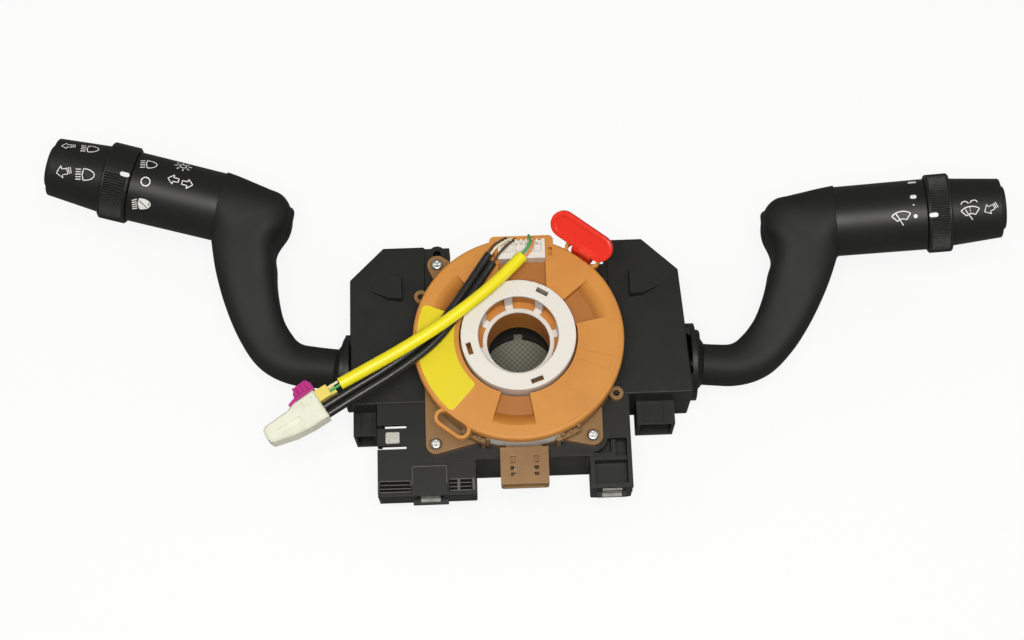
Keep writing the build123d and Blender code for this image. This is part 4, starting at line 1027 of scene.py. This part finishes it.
class Glyph:
    """Generic control symbols, as strokes in millimetres round their own middle, x right and y up."""

    @staticmethod
    def lamp(width: float, height: float, rays: int, droop: float = 0.0) -> list[Stroke]:
        """A headlamp: a bowl on the right and level or drooping rays on the left."""
        bowl_x = -0.08 * width
        reach = width / 2.0 - bowl_x
        half = height / 2.0
        angles = np.radians(np.linspace(-90.0, 90.0, 17))
        bowl = [(bowl_x + reach * math.cos(a), half * math.sin(a)) for a in angles]
        back = [(bowl_x, half), (bowl_x - 0.07 * width, 0.0), (bowl_x, -half)]
        strokes: list[Stroke] = [bowl + back[1:]]
        for level in np.linspace(half * 0.86, -half * 0.86, rays):
            strokes.append([(-width / 2.0, level - droop), (bowl_x - 0.14 * width, level)])
        return strokes

    @staticmethod
    def filled_bowl(width: float, height: float) -> list[Stroke]:
        """The inside of a headlamp's bowl, as bars side by side with a slanting gap."""
        left, reach, half = -0.1 * width, 0.58 * width, height / 2.0
        bars: list[Stroke] = []
        for share in np.linspace(0.02, 0.82, 9):
            top = half * math.sqrt(1.0 - share ** 2) - 0.25
            x = left + reach * share
            middle = (0.35 - share) * height
            for low, high in ((-top, min(top, middle - 0.35)), (max(-top, middle + 0.35), top)):
                if high - low > 0.5:
                    bars.append([(x, low), (x, high)])
        return bars

    @staticmethod
    def ring(radius: float) -> list[Stroke]:
        """A plain circle."""
        return [arc((0.0, 0.0), radius, 0.0, 360.0, 25)]

    @staticmethod
    def sun(radius: float, reach: float) -> list[Stroke]:
        """A small circle with eight rays."""
        near = 1.55 * radius
        rays = [[(near * math.cos(a), near * math.sin(a)), (reach * math.cos(a), reach * math.sin(a))]
                for a in np.radians(np.arange(0.0, 360.0, 45.0))]
        return [arc((0.0, 0.0), radius, 0.0, 360.0, 17), *rays]

    @staticmethod
    def arrow(length: float, height: float, facing: float) -> list[Stroke]:
        """A hollow arrow that points left for a facing of -1 and right for 1."""
        tip, tail, half, waist = length / 2.0 * facing, -length / 2.0 * facing, height / 2.0, height * 0.2
        shape = [(tip, 0.0), (0.0, half), (0.0, waist), (tail, waist),
                 (tail, -waist), (0.0, -waist), (0.0, -half)]
        return [shape + [shape[0]]]

    @staticmethod
    def lever(width: float, height: float, facing: float) -> list[Stroke]:
        """A broad arrow that points away from its facing side, with a hatched tail."""
        w, h = width / 2.0 * facing, height / 2.0
        shape = [(-w, -0.1 * h), (-0.25 * w, h), (-0.2 * w, 0.42 * h), (0.5 * w, 0.42 * h),
                 (0.5 * w, -0.5 * h), (-0.2 * w, -0.5 * h), (-0.25 * w, -h)]
        hatch = [[(w * (0.72 + 0.26 * k), 0.6 * h), (w * (0.72 + 0.26 * k), -0.5 * h)] for k in range(2)]
        return [shape + [shape[0]], *hatch]

    @staticmethod
    def fan(radius: float, inner: float, low: float) -> list[Stroke]:
        """A windscreen: two arcs about a low middle, joined at their ends."""
        top = arc((0.0, low), radius, 50.0, 130.0, 13)
        bottom = arc((0.0, low), inner, 130.0, 50.0, 7)
        return [top + bottom + [top[0]]]

    @classmethod
    def wiper(cls) -> list[Stroke]:
        """A windscreen with its wiper."""
        return [*cls.fan(7.2, 3.4, -4.0), [(0.3, -3.9), (-2.3, 2.3)]]

    @classmethod
    def washer(cls) -> list[Stroke]:
        """A windscreen with its wiper and two jets."""
        jets = [arc((-2.2, 3.2), 1.9, 20.0, 165.0, 9), arc((2.2, 3.2), 1.9, 15.0, 160.0, 9)]
        spray = [[(0.0, level), (0.0, level + 0.6)] for level in (-1.4, -0.1, 1.2)]
        return [*cls.fan(7.0, 3.4, -4.8), [(0.6, -4.6), (-2.4, 1.0)], *jets, *spray]


@dataclass(frozen=True)
class Mark:
    """One symbol on a round surface.

    along is the place on the handle's axis in millimetres, turn the angle round it and tilt the
    symbol's own slant, in degrees.
    """

    along: float
    turn: float
    strokes: Sequence[Stroke]
    tilt: float = 0.0
    line: float = 0.5


@dataclass
class HandleAxis:
    """The axis of one stalk's handle, and places round it."""

    side: str

    def __post_init__(self) -> None:
        """Takes the axis from the ring's joint, and a zero direction that looks up."""
        joint = next(j for j in frame["joints"] if j["name"] == f"{self.side}_ring_turn")
        self.start = np.array(joint["pos_m"]) / MM
        self.axis = unit(joint["axis"])
        level = np.array((0.0, 0.0, 1.0))
        self.zero = unit(level - self.axis * (self.axis @ level))
        self.quarter = np.cross(self.axis, self.zero)

    def wrap(self, along: np.ndarray, turn: np.ndarray, radius: np.ndarray) -> np.ndarray:
        """Points at a place, an angle in radians and a radius round the axis."""
        spoke = np.cos(turn)[..., None] * self.zero + np.sin(turn)[..., None] * self.quarter
        return self.start + along[..., None] * self.axis + radius[..., None] * spoke


@dataclass
class HandleMarks:
    """The white symbols on one stalk's barrel, end cap and ring."""

    side: str
    palette: Palette
    rightward: float
    upward: float
    marks: Mapping[str, Sequence[Mark]]
    pads: Mapping[str, Sequence[tuple[float, float, float, float]]]
    bodies: Mapping[str, Body]
    lift: float = 0.04
    sink: float = 0.10
    step: float = 0.35

    def __post_init__(self) -> None:
        """Takes the handle's axis."""
        self.handle = HandleAxis(self.side)

    def build(self) -> None:
        """Lays the symbols of each piece of the handle."""
        for piece, marks in self.marks.items():
            radius = self._profile(f"{self.side}_{piece}")
            shell = Shell()
            for mark in marks:
                for stroke in mark.strokes:
                    self._stroke(shell, mark, np.asarray(stroke, float), radius)
            for along, turn, length, width in self.pads.get(piece, ()):
                self._pad(shell, along, turn, length, width, radius)
            name = f"{self.side}_{piece}_marks"
            shell.lay(name, Palette.INK, self.palette, self.bodies[piece], "soft_black")

    def _profile(self, node: str) -> Callable[[np.ndarray], np.ndarray]:
        """The node's outer radius along the handle's axis.

        Args:
            node: the CAD node that carries the marks.

        Returns:
            A function from places along the axis to radii, both in millimetres.
        """
        mesh = frame["nodes"][node].data
        flat = np.empty(len(mesh.vertices) * 3, np.float32)
        mesh.vertices.foreach_get("co", flat)
        offset = flat.reshape(-1, 3) / MM - self.handle.start
        along = offset @ self.handle.axis
        across = np.linalg.norm(offset - np.outer(along, self.handle.axis), axis=1)
        order = np.argsort(along)
        places, outer = along[order], across[order]
        stations = np.linspace(places[0], places[-1], 9)
        reach = [outer[np.abs(places - station) < (places[-1] - places[0]) / 12.0] for station in stations]
        solid = [(s, r.max()) for s, r in zip(stations, reach) if len(r)]
        at, radii = (np.array(column) for column in zip(*solid))
        return lambda s: np.interp(s, at, radii)

    def _stroke(self, shell: Shell, mark: Mark, stroke: np.ndarray, radius: Callable) -> None:
        """Adds one line of a symbol: a flat bar carried along the stroke and wrapped on the surface.

        Args:
            shell: the mesh that grows.
            mark: the symbol.
            stroke: its points, in its own frame.
            radius: the surface's radius along the axis.
        """
        path = even(stroke, self.step)
        heading = np.gradient(path, axis=0)
        side = np.stack((-heading[:, 1], heading[:, 0]), axis=1)
        side *= mark.line / 2.0 / np.maximum(np.linalg.norm(side, axis=1), 1e-9)[:, None]
        edges = np.stack((path - side, path + side, path + side, path - side), axis=1)
        tilt = math.radians(mark.tilt)
        x = edges[..., 0] * math.cos(tilt) - edges[..., 1] * math.sin(tilt)
        y = edges[..., 0] * math.sin(tilt) + edges[..., 1] * math.cos(tilt)
        along = mark.along + self.rightward * x
        reach = radius(along)
        turn = math.radians(mark.turn) + self.upward * y / reach
        height = np.array((self.lift, self.lift, -self.sink, -self.sink))
        shell.add(self.handle.wrap(along, turn, reach + height))

    def _pad(self, shell: Shell, along: float, turn: float, length: float, width: float,
             radius: Callable) -> None:
        """Adds a filled rounded bar: rings of a rounded outline from the middle out, then down and under."""
        angles = np.linspace(0.0, 2.0 * math.pi, 24, endpoint=False)
        end = min(length, width) / 2.0
        x = end * np.cos(angles) + np.sign(np.cos(angles)) * max(length / 2.0 - end, 0.0)
        y = end * np.sin(angles) + np.sign(np.sin(angles)) * max(width / 2.0 - end, 0.0)
        share = np.array((0.5, 0.94, 1.0, 1.0, 0.5))[:, None]
        height = np.array((self.lift, self.lift, self.lift * 0.4, -4 * self.sink, -4 * self.sink))[:, None]
        places = along + self.rightward * x * share
        reach = radius(places)
        turns = math.radians(turn) + self.upward * y * share / reach
        shell.add(self.handle.wrap(places, turns, reach + height))


def left_marks(palette: Palette) -> HandleMarks:
    """The left stalk's symbols: lamps on the barrel and cap, arrows, sun and circle."""
    return HandleMarks(
        side="left", palette=palette, rightward=-1.0, upward=1.0,
        marks={
            "barrel": (
                Mark(53.3, 25.4, Glyph.lamp(8.2, 5.2, 4, 0.5), tilt=11.0),
                Mark(52.2, -7.6, Glyph.ring(2.2), line=0.6),
                Mark(52.0, -45.5, [*Glyph.lamp(9.2, 5.6, 5, 0.8), *Glyph.filled_bowl(9.2, 5.6)], tilt=11.0),
                Mark(37.0, 43.0, Glyph.sun(1.7, 4.4), tilt=10.0),
                Mark(39.3, 7.4, Glyph.arrow(5.4, 5.4, -1.0)),
                Mark(32.0, 5.9, Glyph.arrow(5.4, 5.4, 1.0)),
            ),
            "end_cap": (
                Mark(94.6, 31.5, Glyph.lever(6.6, 4.4, 1.0), tilt=12.0, line=0.36),
                Mark(83.9, 33.9, Glyph.lamp(8.8, 5.4, 4), tilt=8.0),
                Mark(92.9, -23.6, Glyph.lever(7.4, 6.2, 1.0), tilt=22.0, line=0.4),
                Mark(82.2, -20.0, Glyph.lamp(9.4, 5.8, 5), tilt=10.0),
            ),
            "ring": (),
        },
        pads={"ring": ((62.7, -5.6, 4.8, 2.3),)},
        bodies={"barrel": Body.LEFT_LEVER, "end_cap": Body.LEFT_LEVER, "ring": Body.LEFT_RING},
    )


def right_marks(palette: Palette) -> HandleMarks:
    """The right stalk's symbols: wiper, washer, settings bars and the ring's pointer."""
    return HandleMarks(
        side="right", palette=palette, rightward=1.0, upward=-1.0,
        marks={
            "barrel": (Mark(46.9, 23.8, Glyph.wiper(), tilt=6.0),),
            "end_cap": (
                Mark(80.3, 21.8, Glyph.washer(), tilt=4.0),
                Mark(90.2, 19.8, Glyph.lever(6.8, 5.2, 1.0), tilt=24.0, line=0.38),
            ),
            "ring": (),
        },
        pads={
            "barrel": (
                (53.9, -45.8, 4.2, 2.2), (53.4, -9.6, 3.2, 2.2), (53.2, 4.5, 0.8, 0.8),
                (53.7, 23.0, 2.0, 2.0),
            ),
            "ring": ((62.4, 23.2, 4.4, 2.2),),
        },
        bodies={"barrel": Body.RIGHT_LEVER, "end_cap": Body.RIGHT_LEVER, "ring": Body.RIGHT_RING},
    )


# ---------------------------------------------------------------- clock spring trim


@dataclass
class ClockSpringTrim:
    """The bare label on the disc, the bare strip on the stator wall and the pad print on the bracket."""

    palette: Palette
    face_z: float = 64.0
    label_radii: tuple[float, float] = (31.3, 49.4)
    label_angles: tuple[float, float] = (158.0, 227.8)
    label_corner: float = 2.2
    film: float = 0.12
    strip_radius: float = 50.5
    strip_angles: tuple[float, float] = (-108.0, -68.0)
    strip_z: tuple[float, float] = (46.2, 56.4)
    patch_mm: tuple[float, float, float, float] = (-66.9, -60.1, -45.1, -39.4)
    patch_z: float = 40.0

    clip_angles: tuple[float, float] = (246.5, 297.5)
    clip_half_angle: float = 4.6
    clip_z: tuple[float, float] = (45.0, 57.2)
    mark_height: float = 0.07

    def build(self) -> None:
        """Lays the three films, the mould marks and the snap clips' frames."""
        self._label()
        self._strip()
        self._patch()
        self._mould_marks()
        self._clip_frames()

    def _mould_marks(self) -> None:
        """Faint raised lines and a small circle, as a mould leaves them, on the disc's face."""
        paths = [
            *(np.array([polar(reach, angle) for reach in np.linspace(31.5, last, 12)])
              for angle, last in ((-14.0, 46.5), (-23.0, 46.5), (-47.0, 44.0))),
            np.array([polar(46.5, angle) for angle in np.linspace(-14.0, -23.0, 9)]),
            np.array([polar(49.2, angle) for angle in np.linspace(-62.0, 20.0, 50)]),
            np.array(arc(polar(42.4, 122.5), 2.1, 0.0, 360.0, 33)),
        ]
        shell = Shell()
        for path in paths:
            shell.add(ridge(path, 0.35, self.face_z - 0.1, self.face_z + self.mark_height))
        finish = self.palette.FINISHES["orange_plastic"]
        shell.lay("disc_mould_marks", finish, self.palette, Body.ROTOR, "orange_plastic")

    def _clip_frames(self) -> None:
        """Two snap windows on the stator's wall, each a frame of three bars round a shadowed recess."""
        wall, low, high = self.strip_radius, *self.clip_z
        frame_shell, recess_shell = Shell(), Shell()
        for angle in self.clip_angles:
            left, right = angle - self.clip_half_angle, angle + self.clip_half_angle
            for span, levels in (
                ((left - 1.0, left + 0.6), (low, high)), ((right - 0.6, right + 1.0), (low, high)),
                ((left, right), (low, low + 2.4)), ((angle - 0.7, angle + 0.7), (low, high - 3.0)),
            ):
                frame_shell.add(wall_block((wall - 0.3, wall + 1.7), span, levels))
            recess_shell.add(wall_block((wall - 0.3, wall + 0.15), (left, right), (low, high)))
        finishes = self.palette.FINISHES
        frame_shell.lay(
            "stator_clip_frames", finishes["brown_plastic"], self.palette, Body.HOUSING, "brown_plastic",
        )
        recess_shell.lay("stator_clip_recesses", Palette.RECESS, self.palette, Body.HOUSING, "brown_plastic")

    @staticmethod
    def _rounded(width: float, height: float, corner: float, count: int = 96) -> np.ndarray:
        """A rounded rectangle about its middle: four quarter turns joined by straight sides."""
        quarters = np.repeat(np.arange(4) * 90.0, count // 4)
        sweep = np.tile(np.linspace(0.0, 90.0, count // 4), 4)
        angles = np.radians(quarters + sweep)
        signs = np.array(((1, 1), (-1, 1), (-1, -1), (1, -1)))
        centres = np.repeat(signs, count // 4, axis=0) * (width / 2.0 - corner, height / 2.0 - corner)
        return even(centres + corner * np.stack((np.cos(angles), np.sin(angles)), axis=1), 0.6)

    def _film(self, outline: np.ndarray, bend: Bend) -> Shell:
        """A thin film: rings of the outline drawn in to its middle, over the top and back underneath.

        Args:
            outline: closed outline, of shape (n, 2).
            bend: lays flat places and heights on the carrying surface.

        Returns:
            The closed shell.
        """
        share = np.concatenate((np.linspace(0.04, 0.99, 14), (1.0, 1.0), np.linspace(0.96, 0.04, 12)))
        height = np.concatenate((np.full(14, self.film), (self.film * 0.6, 0.01), np.full(12, 0.01)))
        flat = share[:, None, None] * outline[None]
        shell = Shell()
        shell.add(bend(flat[..., 0], flat[..., 1], height[:, None]))
        return shell

    def _label(self) -> None:
        """The yellow sector on the disc: a rounded rectangle bent round the column axis."""
        inner, outer = self.label_radii
        first, last = (math.radians(angle) for angle in self.label_angles)
        middle = (inner + outer) / 2.0
        outline = self._rounded((last - first) * middle, outer - inner, self.label_corner)

        def bend(x: np.ndarray, y: np.ndarray, height: np.ndarray) -> np.ndarray:
            """Takes flat places and heights to points in space."""
            angle = (first + last) / 2.0 + x / middle
            radius = middle + y
            level = self.face_z + height + 0.0 * x
            return np.stack((radius * np.cos(angle), radius * np.sin(angle), level), axis=-1)

        self._film(outline, bend).lay("disc_label", Palette.LABEL, self.palette, Body.ROTOR, "yellow_plastic")

    def _strip(self) -> None:
        """The white strip on the stator's round wall."""
        low, high = self.strip_z
        first, last = (math.radians(angle) for angle in self.strip_angles)
        outline = self._rounded((last - first) * self.strip_radius, high - low, 0.5)

        def bend(x: np.ndarray, y: np.ndarray, height: np.ndarray) -> np.ndarray:
            """Takes flat places and heights to points in space."""
            angle = (first + last) / 2.0 + x / self.strip_radius
            radius = self.strip_radius + height
            level = (low + high) / 2.0 + y
            return np.stack((radius * np.cos(angle), radius * np.sin(angle), level), axis=-1)

        film = self._film(outline, bend)
        film.lay("stator_strip", Palette.STRIP, self.palette, Body.HOUSING, "white_plastic")

    def _patch(self) -> None:
        """The pale square on the bracket's tongue."""
        left, right, low, high = self.patch_mm
        outline = self._rounded(right - left, high - low, 0.5)

        def bend(x: np.ndarray, y: np.ndarray, height: np.ndarray) -> np.ndarray:
            """Takes flat places and heights to points in space."""
            level = self.patch_z + height * 0.5 + 0.0 * x
            return np.stack(((left + right) / 2.0 + x, (low + high) / 2.0 + y, level), axis=-1)

        film = self._film(outline, bend)
        film.lay("tongue_patch", Palette.PATCH, self.palette, Body.HOUSING, "white_plastic")


# ---------------------------------------------------------------- dressing of the CAD nodes


@dataclass(frozen=True)
class BracketTrim:
    """The ribbed foot, the clip hood's rims and the end bars of the lower left bracket, in a lighter black
    that is a painted highlight, over films of painted shade.
    """

    palette: Palette
    face_z: float = 40.0
    hood_z: float = 41.6
    ribs: tuple[tuple[Spot, Spot], ...] = (
        ((-70.3, -64.0), (-54.9, -64.2)), ((-70.2, -63.9), (-70.6, -69.7)), ((-55.1, -64.2), (-54.4, -66.6)),
        ((-69.7, -66.0), (-54.9, -66.2)), ((-69.9, -67.9), (-54.9, -68.0)), ((-70.2, -69.6), (-54.9, -69.6)),
        ((-35.9, -64.0), (-25.4, -64.0)), ((-35.9, -65.9), (-25.4, -65.9)), ((-35.9, -67.8), (-25.4, -67.8)),
        ((-35.9, -69.6), (-25.4, -69.6)),
    )
    bars: tuple[tuple[Spot, Spot], ...] = (
        ((-31.4, -63.8), (-31.5, -69.8)), ((-24.3, -63.6), (-24.0, -69.8)),
    )
    rims: tuple[tuple[Spot, Spot], ...] = (
        ((-53.9, -57.5), (-37.2, -57.5)), ((-53.9, -57.4), (-53.9, -66.0)), ((-37.2, -57.4), (-37.2, -66.0)),
    )
    # Flat dark films under the ribs, as painted shade.
    grooves: tuple[tuple[Spot, Spot], ...] = (
        ((-70.2, -66.9), (-54.8, -66.9)), ((-36.2, -66.9), (-25.2, -66.9)),
    )

    def build(self) -> None:
        """Lays the films of painted shade, then the ribs, bars and rims over them in the painted highlight's
        lighter black.
        """
        # Painted shade under the ribs.
        self._bars("bracket_shade_films", self.grooves, 5.6, self.face_z, 0.06, Palette.SHADE_FILM)
        # The ribs, bars and hood rims are real forms; their lighter black is a painted highlight.
        self._bars("bracket_ribs", self.ribs, 0.42, self.face_z, 0.3, Palette.WORN)
        self._bars("bracket_bars", self.bars, 1.3, self.face_z, 0.34, Palette.WORN)
        self._bars("hood_rims", self.rims, 0.4, self.hood_z, 0.22, Palette.WORN)

    def _bars(self, name: str, spans: Sequence[tuple[Spot, Spot]], width: float, face: float, height: float,
              finish: MouldedPlastic) -> None:
        """Lays straight flat bars on a face."""
        shell = Shell()
        for start, end in spans:
            path = np.linspace(np.array(start), np.array(end), 9)
            shell.add(ridge(path, width, face - 0.15, face + height))
        shell.lay(name, finish, self.palette, Body.HOUSING, "black_plastic")


@dataclass
class Dressing:
    """Gives every CAD node the finish of its slot."""

    palette: Palette

    def build(self) -> None:
        """Assigns the materials."""
        for name, node in frame["nodes"].items():
            slots = node.data.materials
            for index, given in enumerate(list(slots)):
                own = Palette.BY_NODE.get(name)
                slots[index] = self.palette.of(own) if own else self.palette.slot(given.name.split(".")[0])
            LOG.info("%s: %s", name, slots[0].name)


def main() -> None:
    """Builds the scene: camera and cords first, then trims, markings and finishes."""
    logging.basicConfig(level=logging.INFO, format="%(name)s %(message)s")
    palette = Palette()
    studio = Studio()
    studio.camera()
    Harness(palette).build()
    studio.floor()
    studio.lights()
    ClockSpringTrim(palette).build()
    BracketTrim(palette).build()
    for stalk in (LEFT_STALK, RIGHT_STALK):
        ArmSkin(stalk, palette).build()
        RibbedRing(stalk, palette).build()
    left_marks(palette).build()
    right_marks(palette).build()
    Dressing(palette).build()


if __name__ == "__main__":
    main()
